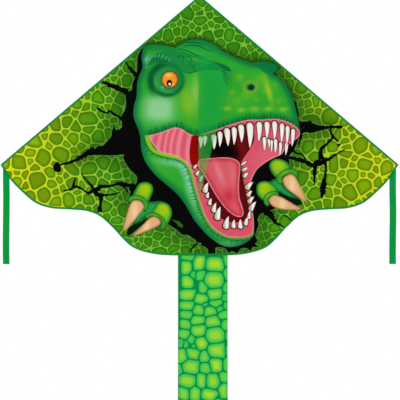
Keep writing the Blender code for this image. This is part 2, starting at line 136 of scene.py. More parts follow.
THROAT = [
    (-22, -424), (-9, -421), (14, -419), (45, -410), (76, -402), (106, -394), (133, -389), (160, -394),
    (165, -410), (165, -437), (151, -464), (131, -494), (125, -508), (129, -533), (134, -564), (141, -594),
    (146, -621), (151, -648), (147, -666), (135, -680), (118, -684), (95, -684), (78, -680), (62, -669),
    (47, -648), (34, -621), (23, -594), (12, -573), (6, -554), (0, -533), (-9, -518), (-20, -514),
    (-27, -502), (-30, -475), (-27, -444),
]
TONGUE = [
    (-6, -510), (-3, -500), (6, -493), (26, -491), (45, -490), (68, -488), (91, -489), (108, -494),
    (120, -504), (123, -521), (120, -552), (119, -583), (121, -610), (128, -633), (133, -652), (131, -663),
    (124, -668), (110, -666), (94, -656), (78, -641), (62, -621), (49, -602), (38, -583), (30, -569),
    (20, -552), (8, -533), (-1, -521),
]
BROW = [
    (-72, -163), (-50, -169), (-23, -180), (8, -190), (38, -198), (65, -205), (86, -214), (98, -229),
    (98, -229), (69, -225), (38, -224), (8, -226), (-19, -233), (-35, -236), (-48, -230), (-63, -217),
    (-85, -208), (-108, -201), (-131, -202), (-146, -210), (-156, -208), (-148, -189), (-131, -176),
    (-108, -168), (-88, -164),
]
HORN = [
    (142, -198), (161, -203), (177, -200), (200, -201), (224, -206), (224, -206), (235, -213), (233, -223),
    (221, -234), (211, -239), (196, -233), (181, -221), (161, -210),
]
UPPER_TEETH = [
    (3, -427, 17, 3, -461), (17, -424, 16, 14, -455), (42, -421, 19, 44, -464), (61, -412, 18, 61, -456),
    (81, -402, 22, 86, -454), (104, -399, 19, 104, -450), (124, -391, 22, 127, -443),
    (151, -386, 25, 152, -459), (180, -383, 21, 179, -440), (203, -382, 19, 203, -431),
    (226, -381, 19, 226, -435), (249, -387, 17, 247, -444), (266, -394, 15, 263, -451),
    (283, -403, 15, 279, -455),
]
REAR_TEETH = [
    (195, -428, 15, 196, -468), (208, -433, 10, 211, -460), (218, -436, 9, 217, -472),
    (229, -434, 14, 229, -475), (245, -443, 12, 242, -483), (263, -445, 12, 260, -481),
]
LOWER_TEETH = [
    (-17, -521, 10, -6, -509), (-10, -541, 12, 1, -528), (1, -560, 13, 11, -541), (16, -592, 20, 26, -564),
    (23, -609, 13, 28, -593), (30, -630, 15, 36, -612), (42, -652, 17, 50, -625), (53, -674, 22, 63, -637),
    (79, -701, 21, 88, -666), (103, -700, 16, 105, -676), (124, -701, 17, 124, -675),
    (139, -692, 15, 146, -668), (149, -673, 12, 153, -648), (127, -511, 10, 144, -499),
    (130, -528, 12, 147, -519), (134, -547, 14, 148, -534), (142, -582, 19, 162, -562),
    (145, -604, 14, 159, -589), (149, -624, 15, 165, -606), (154, -647, 18, 171, -621),
]
PALM_LEFT = [
    (-167, -617), (-144, -621), (-113, -621), (-90, -648), (-105, -683), (-124, -675), (-157, -667),
    (-182, -685), (-203, -691), (-190, -656), (-182, -629),
]
FINGER_LEFT_1 = [
    (-201, -602), (-194, -585), (-182, -567), (-163, -562), (-145, -569), (-140, -585), (-145, -602),
    (-154, -621), (-161, -625), (-182, -614), (-199, -612),
]
FINGER_LEFT_2 = [
    (-145, -654), (-136, -637), (-122, -623), (-101, -625), (-87, -639), (-83, -658), (-90, -679),
    (-104, -698), (-117, -691), (-130, -669),
]
CUFF_LEFT_1 = [
    (-216, -621), (-214, -608), (-197, -601), (-176, -604), (-160, -616), (-153, -629), (-158, -645),
    (-166, -654), (-170, -641), (-170, -629), (-178, -618), (-195, -616), (-207, -621), (-211, -629),
]
CUFF_LEFT_2 = [
    (-167, -666), (-157, -656), (-139, -653), (-120, -661), (-105, -675), (-100, -692), (-105, -703),
    (-115, -708), (-117, -694), (-116, -683), (-124, -671), (-144, -667), (-157, -672),
]
CLAW_LEFT_1 = [
    (-210, -629), (-204, -620), (-194, -616), (-178, -619), (-169, -629), (-168, -641), (-178, -656),
    (-194, -677), (-211, -696), (-227, -714), (-227, -714), (-230, -708), (-226, -679), (-217, -648),
]
CLAW_LEFT_2 = [
    (-157, -676), (-144, -667), (-129, -668), (-117, -681), (-121, -692), (-138, -702), (-163, -713),
    (-186, -722), (-210, -727), (-210, -727), (-199, -718), (-182, -702), (-168, -688),
]
PALM_RIGHT = [
    (210, -564), (228, -552), (249, -552), (256, -573), (276, -592), (299, -612), (276, -614), (254, -603),
    (237, -594), (220, -598), (210, -583),
]
FINGER_RIGHT_1 = [
    (211, -516), (214, -502), (228, -493), (247, -494), (264, -502), (273, -516), (270, -527), (253, -537),
    (239, -550), (228, -546), (218, -533),
]
FINGER_RIGHT_2 = [
    (172, -587), (175, -569), (189, -560), (208, -561), (226, -571), (236, -587), (228, -596), (214, -606),
    (204, -619), (189, -616), (176, -602),
]
CUFF_RIGHT_1 = [
    (234, -562), (233, -546), (243, -533), (260, -523), (279, -521), (294, -527), (298, -543), (293, -552),
    (287, -543), (276, -538), (260, -541), (251, -551), (252, -566), (241, -569),
]
CUFF_RIGHT_2 = [
    (195, -627), (193, -610), (203, -596), (218, -590), (234, -591), (241, -600), (237, -606), (226, -602),
    (214, -608), (209, -617), (211, -633), (203, -635),
]
CLAW_RIGHT_1 = [
    (251, -556), (260, -543), (276, -538), (288, -544), (301, -566), (314, -594), (324, -619), (324, -626),
    (324, -626), (306, -614), (283, -598), (260, -579),
]
CLAW_RIGHT_2 = [
    (209, -619), (215, -607), (226, -601), (249, -608), (272, -621), (295, -635), (314, -642), (314, -642),
    (299, -647), (272, -647), (245, -645), (220, -635),
]
CRACKS = [
    [(-217, -293, 12), (-255, -276, 11), (-275, -268, 9), (-293, -260, 5)],
    [(-188, -242, 10), (-202, -229, 8), (-213, -215, 5), (-224, -199, 2)],
    [(-234, -370, 9), (-255, -359, 6), (-272, -348, 5), (-278, -353, 5), (-294, -349, 5), (-310, -337, 2)],
    [(-315, -464, 20), (-336, -476, 12), (-363, -490, 8), (-386, -501, 6), (-423, -511, 4)],
    [
        (-194, -576, 13), (-217, -572, 11), (-244, -567, 9), (-267, -574, 6), (-294, -576, 6),
        (-315, -585, 12), (-336, -595, 8), (-355, -584, 4), (-375, -576, 5), (-392, -585, 4),
        (-412, -589, 2),
    ],
    [(-318, -585, 7), (-332, -566, 5), (-348, -549, 3), (-357, -536, 2)],
    [(-382, -578, 5), (-379, -562, 5), (-374, -550, 2)],
    [(-319, -593, 9), (-298, -605, 12), (-299, -624, 8), (-302, -653, 11)],
    [(-296, -603, 8), (-263, -600, 4), (-239, -593, 2)],
    [(-242, -567, 5), (-225, -579, 5), (-216, -594, 2)],
    [(-7, -746, 4), (-24, -764, 3), (-31, -774, 2)],
    [(325, -394, 27), (363, -399, 11), (396, -396, 6), (431, -397, 5)],
    [(396, -389, 3), (396, -409, 5), (403, -426, 6), (421, -442, 2)],
    [(403, -426, 5), (386, -447, 5), (367, -466, 8), (369, -495, 14)],
    [(439, -464, 2), (417, -476, 3), (386, -495, 7), (369, -498, 12)],
    [(267, -487, 6), (298, -495, 9), (321, -501, 8), (344, -511, 12), (369, -499, 15)],
    [(350, -509, 11), (348, -536, 7), (347, -573, 2)],
    [
        (371, -494, 9), (380, -507, 6), (382, -528, 5), (378, -555, 6), (373, -574, 15), (373, -590, 12),
        (369, -612, 2),
    ],
    [(278, -459, 2), (294, -476, 5), (309, -478, 4), (321, -494, 2)],
    [(298, -450, 2), (305, -432, 5), (309, -419, 7)],
    [(190, -639, 15), (213, -662, 15), (228, -682, 12), (242, -692, 6), (256, -700, 2)],
    [(253, -662, 2), (267, -668, 3), (279, -679, 2)],
    [(417, -453, 7), (425, -447, 6)],
]
SPLINTER = [(-84, -675), (-62, -681), (-50, -692), (-51, -701), (-62, -697), (-72, -685)]
BLOB = [
    (-441, -512), (-432, -501), (-424, -504), (-420, -513), (-418, -524), (-421, -532), (-430, -532),
    (-438, -529), (-442, -520),
]
PALM_SHADOWS = [
    [
        (-207, -695), (-182, -684), (-158, -672), (-161, -679), (-179, -697), (-204, -718), (-213, -724),
        (-220, -721), (-217, -706),
    ],
    [
        (239, -592), (260, -602), (283, -610), (306, -617), (310, -628), (295, -633), (272, -621),
        (249, -608),
    ],
]


# ---------------------------------------------------------------- flat drawing
def smooth(points, closed=True, step=4.0):
    """Points along a Catmull-Rom curve through the given points, about a step apart."""
    ring = [np.array(p[:2], float) for p in points]
    count = len(ring)
    spans = range(count if closed else count - 1)
    found = []
    for i in spans:
        before, a, b, after = (
            ring[j % count if closed else min(max(j, 0), count - 1)] for j in range(i - 1, i + 3)
        )
        steps = max(1, math.ceil(np.linalg.norm(b - a) / step))
        for t in np.arange(steps) / steps:
            curve = 2 * a + (b - before) * t
            curve = curve + (2 * before - 5 * a + 4 * b - after) * t**2
            curve = curve + (3 * a - before - 3 * b + after) * t**3
            found.append(curve / 2)
    if not closed:
        found.append(ring[-1])
    kept = [found[0]]
    for p in found[1:]:
        if np.linalg.norm(p - kept[-1]) > 0.2:
            kept.append(p)
    return np.array(kept)


def inside(p, outline):
    """Which of the points p lie inside a closed outline."""
    found = np.zeros(len(p), bool)
    low, high = outline.min(0), outline.max(0)
    near = np.flatnonzero(((p >= low) & (p <= high)).all(1))
    x, z = p[near].T
    crossed = np.zeros(len(near), bool)
    for (x0, z0), (x1, z1) in zip(outline, np.roll(outline, -1, 0)):
        if z0 != z1:
            crossed ^= ((z0 > z) != (z1 > z)) & (x < (x1 - x0) * (z - z0) / (z1 - z0) + x0)
    found[near] = crossed
    return found


def distance(p, line, closed=True):
    """How far each of the points p is from a line through the given points."""
    best = np.full(len(p), 1e9)
    ends = np.roll(line, -1, 0) if closed else line[1:]
    for a, b in zip(line, ends):
        run = b - a
        t = np.clip(((p - a) @ run) / max(run @ run, 1e-9), 0, 1)
        gap = p - (a + t[:, None] * run)
        best = np.minimum(best, (gap**2).sum(1))
    return np.sqrt(best)


def soft(t):
    t = np.clip(t, 0, 1)
    return t * t * (3 - 2 * t)


def rgb(red, green, blue):
    return np.array((red, green, blue), float) / 255


def lay(under, colour, mask):
    """A colour sprayed over another through a mask of 0 to 1."""
    mask = np.clip(mask, 0, 1)[:, None]
    return under * (1 - mask) + colour * mask


def glow(p, x, z, wide, high, turn=0.0):
    """An airbrushed ellipse: 1 in the middle, fading out."""
    c, s = math.cos(math.radians(turn)), math.sin(math.radians(turn))
    u, v = (p - (x, z)).T
    return np.exp(-1.5 * (((u * c + v * s) / wide) ** 2 + ((v * c - u * s) / high) ** 2))


def patch_glow(p, x, z, wide, high):
    """An airbrushed patch with a flat middle and squarer sides than an ellipse."""
    return np.exp(-1.5 * (np.abs((p[:, 0] - x) / wide) ** 3 + np.abs((p[:, 1] - z) / high) ** 3))


def sprayed(p, c, *lights):
    """Airbrushed ellipses laid over a colour: each is a colour, how strong it is and the ellipse."""
    for colour, strength, *ellipse in lights:
        c = lay(c, rgb(*colour), strength * glow(p, *ellipse))
    return c


def ground(p, *colour):
    """One colour at every point."""
    return np.tile(rgb(*colour), (len(p), 1))


def plain(*colour):
    return lambda p: ground(p, *colour)


def edged(p, c, line, wide, strength, *colour):
    """A colour that is strongest at a closed outline and fades out over a width beside it."""
    return lay(c, rgb(*colour), strength * (1 - soft(distance(p, line) / wide)))


def stroke(points, ragged=0.0, seed=1):
    """The outline of a brush stroke: each point is x, z and the width there."""
    rng = random.Random(seed)
    path = smooth(points, False, 6.0)
    stations = np.linspace(0, len(points) - 1, len(path))
    widths = np.interp(stations, np.arange(len(points)), [w for _, _, w in points]) / 2
    runs = np.gradient(path, axis=0)
    across = np.stack([-runs[:, 1], runs[:, 0]], 1) / np.linalg.norm(runs, axis=1)[:, None]
    sides = []
    for sign in (1, -1):
        rough = np.array([1 + ragged * rng.uniform(-1, 1) for _ in path])
        sides.append(path + across * (sign * widths * rough)[:, None])
    return np.concatenate([sides[0], sides[1][::-1]])


def fringe(line, gap, least, most, seed):
    """Short ticks that stand on a line, on its left side, thinning to a point."""
    rng = random.Random(seed)
    runs = np.diff(line, axis=0)
    lengths = np.linalg.norm(runs, axis=1)
    along = np.concatenate([[0], np.cumsum(lengths)])
    ticks, at = [], gap / 2
    while at < along[-1]:
        i = int(np.searchsorted(along, at)) - 1
        foot = line[i] + runs[i] * (at - along[i]) / lengths[i]
        turn = math.atan2(runs[i][1], runs[i][0]) + math.pi / 2 + rng.uniform(-0.3, 0.3)
        reach = rng.uniform(least, most)
        aim = np.array((math.cos(turn), math.sin(turn)))
        top = foot + aim * reach
        foot = foot - aim * 2
        ticks.append(stroke([(*foot, 3.0), (*top, 0.6)]))
        at += gap * rng.uniform(0.6, 1.4)
    return ticks


def circle(x, z, wide, high=None, turn=0.0, count=36):
    high = high or wide
    t = np.arange(count) * 2 * math.pi / count
    c, s = math.cos(math.radians(turn)), math.sin(math.radians(turn))
    u, v = wide * np.cos(t), high * np.sin(t)
    return np.stack([x + u * c - v * s, z + u * s + v * c], 1)


# ---------------------------------------------------------------- the scaly wall
def scale_size(x):
    """Scales are small beside the head and large towards the wing tips."""
    return float(np.interp(abs(x), (0, 200, 330, 520, 600), (30, 27, 34, 38, 33)))


def scatter(low, high, seed, tries, allowed):
    """Seeds spread at random: x, z, width and height, none too near another."""
    rng = random.Random(seed)
    seeds = np.zeros((0, 4))
    for _ in range(tries):
        x, z = rng.uniform(low[0], high[0]), rng.uniform(low[1], high[1])
        room = scale_size(x) * rng.choice((0.52, 0.78, 0.95, 1.12, 1.2))
        shape = rng.uniform(0.86, 1.16)
        wide, high_ = room * shape, room / shape
        if len(seeds):
            apart_x = np.abs(seeds[:, 0] - x) / (seeds[:, 2] + wide)
            apart_z = np.abs(seeds[:, 1] - z) / (seeds[:, 3] + high_)
            if (apart_x**3 + apart_z**3 < 0.455**3).any():
                continue
        if allowed(x, z):
            seeds = np.vstack([seeds, (x, z, wide, high_)])
    return seeds


def pebbles(seeds, mortar, reach):
    """One rounded scale round each seed of x, z, width and height, with mortar between neighbours."""
    found = []
    for x, z, wide, high in seeds:
        away = np.hypot(seeds[:, 0] - x, seeds[:, 1] - z)
        near = np.argsort(away)[1:16]
        corners = ((-1, -1), (1, -1), (1, 1), (-1, 1))
        cell = [np.array((x + a * wide * reach, z + b * high * reach)) for a, b in corners]
        for other in seeds[near]:
            gap = np.array((other[0] - x, other[1] - z))
            length = np.linalg.norm(gap)
            normal = gap / length
            mine = 1 / math.hypot(normal[0] / wide, normal[1] / high)
            theirs = 1 / math.hypot(normal[0] / other[2], normal[1] / other[3])
            limit = length * mine / (mine + theirs) - mortar(x) / 2
            cell = clip_half(cell, (x, z), normal, limit)
        if len(cell) > 2:
            found.append(round_corners(np.array(cell)))
    return found


def clip_half(cell, centre, normal, limit):
    """The part of a convex cell that lies within limit of centre, measured along normal."""
    kept = []
    for a, b in zip(cell, cell[1:] + cell[:1]):
        da, db = (a - centre) @ normal - limit, (b - centre) @ normal - limit
        if da <= 0:
            kept.append(a)
        if (da < 0) != (db < 0):
            kept.append(a + (b - a) * da / (da - db))
    return kept


def round_corners(cell):
    """Corners cut twice, which leaves a pebble's outline."""
    for share in (0.20, 0.25):
        ahead = np.roll(cell, -1, 0)
        cell = np.stack([cell * (1 - share) + ahead * share, cell * share + ahead * (1 - share)], 1)
        cell = cell.reshape(-1, 2)
    return cell


def wall_mix(p, middle, tip):
    """The wall turns from green in the middle to olive and yellow at the wing tips."""
    t = soft((np.abs(p[:, 0]) - 170) / 390)[:, None]
    return middle * (1 - t) + tip * t


def torn_edge(p, c):
    """The wall is dark where the head shades it, and pale along its broken edge."""
    c = edged(p, c, hole_line, 60, 0.42, 22, 70, 8)
    c = edged(p, c, head_line, 17, 0.75, 28, 62, 8)
    return edged(p, c, hole_line, 2.6, 0.55, 120, 190, 90)


def mortar_paint(p):
    c = wall_mix(p, rgb(124, 196, 58), rgb(222, 228, 26))
    c = lay(c, rgb(150, 205, 50), 0.5 * glow(p, 20, -60, 50, 60))
    return torn_edge(p, c)


def scale_paint(cell, seed):
    """A scale: bright in the middle, dark and brownish at its rim."""
    tone = random.Random(seed).uniform(-0.10, 0.10)

    def paint(p):
        size = math.sqrt(np.ptp(cell[:, 0]) * np.ptp(cell[:, 1]))
        rim = distance(p, cell)
        c = wall_mix(p, rgb(68, 148, 14), rgb(138, 172, 4)) * (1 + tone)
        c = lay(c, wall_mix(p, rgb(34, 112, 16), rgb(92, 134, 8)), 0.9 * (1 - soft(rim / (0.24 * size))))
        return torn_edge(p, c)

    return paint


# ---------------------------------------------------------------- the head
CREASES = [
    [(-70, -189, 1.0), (-58, -181, 2.4), (-47, -187, 2.2), (-52, -200, 1.0)],
    [(-44, -186, 1.0), (-34, -183, 2.2), (-24, -191, 2.4), (-30, -206, 2.0), (-24, -214, 0.8)],
    [(-12, -206, 1.0), (-19, -213, 2.4), (-14, -224, 1.0)],
    [(-66, -160, 0.8), (-50, -163, 2.6), (-28, -171, 3.2), (-4, -182, 2.8), (20, -189, 1.2)],
    [(-50, -155, 0.8), (-30, -150, 2.4), (-4, -152, 2.8), (22, -163, 2.2), (40, -170, 0.8)],
    [(-58, -146, 0.8), (-36, -141, 2.2), (-8, -143, 2.4), (14, -150, 0.8)],
]
RIDGE_LIGHTS = [
    (-158, -208, 2), (-152, -198, 3), (-146, -190, 4), (-137, -187, 4), (-126, -186, 4), (-115, -188, 4),
    (-104, -192, 4), (-94, -197, 4), (-162, -220, 1),
]
MUZZLE_LIGHTS = [
    (122, -246, 16, 0.7), (140, -300, 20, 0.6), (98, -292, 14, 0.55), (116, -318, 15, 0.5),
    (186, -246, 15, 0.5), (170, -312, 14, 0.45), (192, -288, 12, 0.4), (82, -258, 12, 0.4),
    (238, -318, 14, 0.5), (228, -268, 14, 0.4),
]
EYE = (-90, -253)
EYE_RADIUS = 24.5


def head_paint(p):
    """Airbrushed greens: dark round the outline, with pale cheeks and yellow lights."""
    rim = distance(p, head_line)
    c = lay(ground(p, 46, 172, 48), rgb(12, 118, 62), 1 - soft(rim / 26))
    c = sprayed(
        p, c,
        ((20, 140, 66), 0.85, -60, -150, 190, 34, -8), ((44, 178, 60), 0.9, -10, -172, 75, 17, -14),
        ((42, 176, 50), 0.8, 95, -205, 95, 15, -24), ((30, 160, 62), 0.6, 40, -300, 42, 70),
    )
    # jowl, cheek light and the yellow strip beside the eye
    c = lay(c, rgb(146, 214, 150), 1.12 * patch_glow(p, -122, -342, 56, 47))
    c = sprayed(
        p, c,
        ((122, 190, 44), 1.1, -36, -322, 30, 58, 6), ((138, 202, 78), 0.9, -12, -290, 17, 62),
    )
    # muzzle
    for x, z, wide, strength in MUZZLE_LIGHTS:
        c = lay(c, rgb(122, 192, 36), strength * glow(p, x, z, wide, wide * 0.9))
    nostril = np.hypot((p[:, 0] - 154) / 27, (p[:, 1] + 276) / 23)
    c = lay(c, rgb(132, 170, 44), 0.75 * np.exp(-((nostril - 0.75) ** 2) / 0.05))
    c = sprayed(
        p, c,
        ((164, 204, 30), 1.15, 207, -283, 10, 46, 16), ((96, 188, 44), 0.6, 185, -260, 45, 20, -30),
    )
    for x, z in ((84, -340), (126, -344), (166, -342), (208, -341), (252, -343)):
        c = lay(c, rgb(136, 198, 50), 0.95 * glow(p, x, z, 17, 9, 4))
    c = lay(c, rgb(84, 184, 44), 0.55 * glow(p, 100, -318, 60, 22))
    # a dark band above the lip, then the jaw
    c = lay(c, rgb(12, 124, 60), 0.92 * (1 - soft(distance(p, upper_lip, False) / 27)))
    c = lay(c, rgb(60, 178, 52), 0.8 * glow(p, -120, -510, 26, 50, 40))
    beside = distance(p, jaw_line, False)
    low = -p[:, 1]
    shine = soft((low - 480) / 34) * (1 - 0.88 * soft((low - 555) / 150))
    c = lay(c, rgb(132, 212, 172), 1.1 * shine * (1 - soft((beside - 4) / 29)))
    c = lay(c, rgb(96, 186, 120), 0.6 * glow(p, 78, -748, 40, 9, -4))
    c = lay(c, rgb(8, 108, 62), 0.75 * (1 - soft(distance(p, lip_line) / 6)) * (p[:, 1] < -430))
    return eye_socket(p, c)


def eye_socket(p, c):
    """A dark ring round the eye, open at its upper right, with a lit roll of skin inside it."""
    u, v = (p - (-97, -255)).T
    r = np.hypot(u / 50, v / 48)
    ring = np.exp(-((r - 0.94) ** 2) / 0.018)
    c = lay(c, rgb(44, 160, 66), 1 - soft((r - 0.80) / 0.18))
    c = lay(c, rgb(4, 92, 52), (0.97 - 0.35 * soft((u + v + 10) / 60)) * ring)
    wide_ring = np.exp(-((r - 1.05) ** 2) / 0.045)
    c = lay(c, rgb(2, 88, 50), 0.9 * wide_ring * soft((-u + 0.35 * v - 4) / 40))
    c = lay(c, rgb(10, 100, 56), 0.9 * glow(p, EYE[0] + 3, EYE[1] - 2, 32, 32) * (r < 1.1))
    return sprayed(
        p, c,
        ((52, 170, 70), 0.8, -131, -262, 9, 26, 8), ((60, 176, 78), 0.6, -95, -290, 26, 6, -6),
        ((150, 190, 190), 0.9, -112, -277, 6, 4, -35), ((140, 200, 190), 0.75, -160, -192, 7, 16, -20),
    )


def brow_paint(p):
    """A ridge over the eye that sharpens into a dark horn beside the snout."""
    c = ground(p, 30, 150, 62)
    c = sprayed(
        p, c,
        ((64, 182, 66), 0.9, 8, -196, 46, 8, -14), ((0, 106, 62), 0.95, 62, -216, 52, 13, -10),
        ((24, 132, 60), 0.6, -30, -216, 30, 12, -10),
    )
    c = lay(c, rgb(4, 92, 52), 0.9 * (1 - soft(distance(p, brow_line) / 4.5)) * soft((p[:, 0] + 75) / 40))
    left = 1 - soft((p[:, 0] + 88) / 70)[:, None]
    return c * (1 - left) + eye_socket(p, ridge_skin(p)) * left


def ridge_skin(p):
    """Skin above the eye: the dark green of the head's back."""
    c = ground(p, 22, 140, 64)
    return lay(c, rgb(8, 112, 62), 0.8 * glow(p, -140, -186, 40, 20, -20))


def horn_paint(p):
    c = ground(p, 6, 122, 66)
    return lay(c, rgb(26, 150, 60), 0.8 * glow(p, 190, -232, 50, 12, -24))


def eyeball_paint(p):
    r = np.hypot(*(p - EYE).T) / EYE_RADIUS
    x, z = EYE
    c = lay(ground(p, 252, 148, 34), rgb(255, 204, 92), glow(p, x - 4, z + 13, 15, 9))
    c = lay(c, rgb(255, 214, 120), 0.8 * glow(p, x + 6, z - 17, 15, 6))
    return lay(c, rgb(176, 70, 20), soft((r - 0.80) / 0.24))


def mouth_paint(p):
    c = ground(p, 226, 88, 108)
    across = p[:, 0] - 0.0022 * (p[:, 1] + 482) ** 2
    fold = np.sin(across / 3.6 + 1.3 * np.sin(across / 16))
    cheek = soft((-18 - p[:, 0]) / 16)
    c = lay(c, rgb(236, 106, 126), cheek)
    c = lay(c, rgb(244, 156, 168), 0.8 * cheek * soft(fold * 0.75 + 0.05))
    c = lay(c, rgb(214, 74, 94), 0.55 * cheek * soft(-fold * 0.8 + 0.05))
    c = lay(c, rgb(234, 104, 124), 0.8 * glow(p, 206, -480, 60, 30, 30))
    c = edged(p, c, mouth_line, 4.5, 0.8, 248, 176, 176)
    return c


def throat_paint(p):
    c = ground(p, 96, 8, 12)
    c = lay(c, rgb(150, 4, 2), 0.95 * (1 - soft((p[:, 0] + 4) / 12)))
    return sprayed(
        p, c,
        ((4, 0, 0), 1.25, 66, -462, 50, 38, 0), ((4, 0, 0), 0.9, 95, -476, 30, 18, 0),
        ((140, 14, 14), 0.8, 128, -452, 14, 50, 10),
    )


def tongue_paint(p):
    rim = distance(p, tongue_line)
    c = lay(ground(p, 228, 92, 106), rgb(198, 40, 60), 0.75 * (1 - soft((rim - 2) / 16)))
    c = sprayed(
        p, c,
        ((240, 140, 150), 0.8, 60, -535, 13, 50, 22), ((234, 120, 132), 0.7, 100, -540, 14, 50, 6),
        ((196, 34, 54), 0.65, 88, -604, 22, 26),
    )
    return lay(c, rgb(246, 172, 176), 1 - soft(rim / 3.0))


def lip_paint(p):
    c = ground(p, 150, 200, 34)
    c = lay(c, rgb(90, 176, 44), soft((-p[:, 1] - 480) / 160))
    return edged(p, c, lip_line, 3.0, 0.8, 40, 140, 44)


def tooth(base_x, base_z, wide, tip_x, tip_z, grow=0.0):
    """A tooth's outline, from its arched root to its point. Growing it gives the dark line behind it."""
    base, tip = np.array((base_x, base_z), float), np.array((tip_x, tip_z), float)
    axis = (tip - base) / np.linalg.norm(tip - base)
    base, tip = base - axis * (grow * 1.25 + wide * 0.12), tip + axis * grow * 0.8
    side = np.array((-axis[1], axis[0]))
    t = np.array((0.0, 0.02, 0.06, 0.12, 0.22, 0.36, 0.5, 0.64, 0.78, 0.9, 0.97))
    half = (wide / 2 + grow * 0.85) * (1 - t**1.7) ** 0.85 * np.clip(1 - (1 - t / 0.16) ** 2, 0.2, 1) ** 0.5
    half[t > 0.16] = ((wide / 2 + grow * 0.85) * (1 - t**1.7) ** 0.85)[t > 0.16]
    bend = wide * 0.10 * np.sin(np.pi * t)[:, None] * side
    spine = base + (tip - base) * t[:, None] + bend
    return np.concatenate([spine + side * half[:, None], [tip], (spine - side * half[:, None])[::-1]])


def tooth_paint(base_x, base_z, wide, tip_x, tip_z):
    def paint(p):
        c = ground(p, 255, 254, 248)
        side = (p[:, 0] - (base_x + tip_x) / 2) / wide
        c = lay(c, rgb(176, 176, 136), 0.85 * soft((-side - 0.16) * 3.4))
        c = lay(c, rgb(204, 196, 166), 0.6 * soft((side - 0.22) * 3.2))
        return lay(c, rgb(206, 190, 150), 0.45 * glow(p, base_x, base_z, wide * 0.5, wide * 0.22))

    return paint


def claw_paint(line, light_x, light_z):
    def paint(p):
        c = ground(p, 236, 184, 132)
        c = lay(c, rgb(255, 218, 168), 0.95 * glow(p, light_x, light_z, 12, 34, 0))
        c = edged(p, c, line, 8.0, 0.6, 200, 140, 92)
        return edged(p, c, line, 2.6, 0.85, 120, 70, 36)

    return paint


def finger_paint(line, x, z):
    def paint(p):
        rim = distance(p, line)
        c = lay(ground(p, 112, 190, 32), rgb(20, 128, 44), 1 - soft(rim / 11))
        return lay(c, rgb(166, 206, 22), 1.15 * patch_glow(p, x, z, 20, 22) * soft((rim - 1) / 9))

    return paint


def cuff_paint(line):
    def paint(p):
        middle = line.mean(0)
        c = ground(p, 70, 166, 40)
        c = lay(c, rgb(120, 192, 40), 0.8 * glow(p, middle[0] - 6, middle[1] + 6, 14, 9, 20))
        return edged(p, c, line, 4.4, 0.95, 6, 88, 36)

    return paint


def palm_paint(line):
    def paint(p):
        c = ground(p, 38, 164, 76)
        return edged(p, c, line, 12, 0.9, 4, 84, 46)

    return paint


upper_lip = smooth(MOUTH[1:24], False)
head_line = smooth(HEAD)
hole_line = smooth(HOLE, step=6.0)
mouth_line = smooth(MOUTH)
lip_line = smooth(LIP)
jaw_line = smooth(LIP[23:], False)
brow_line = smooth(BROW)
tongue_line = smooth(TONGUE)


def sail_outline():
    edge = smooth(TRAILING_EDGE, False, 5.0)
    return np.concatenate([[(0, 0)], edge, (edge[-2::-1] * (-1, 1))])


def below_edges(x, z):
    return z < -abs(x) * 0.82


def mortar_width(x):
    return float(np.interp(abs(x), (120, 330, 560), (2.6, 3.6, 5.0)))


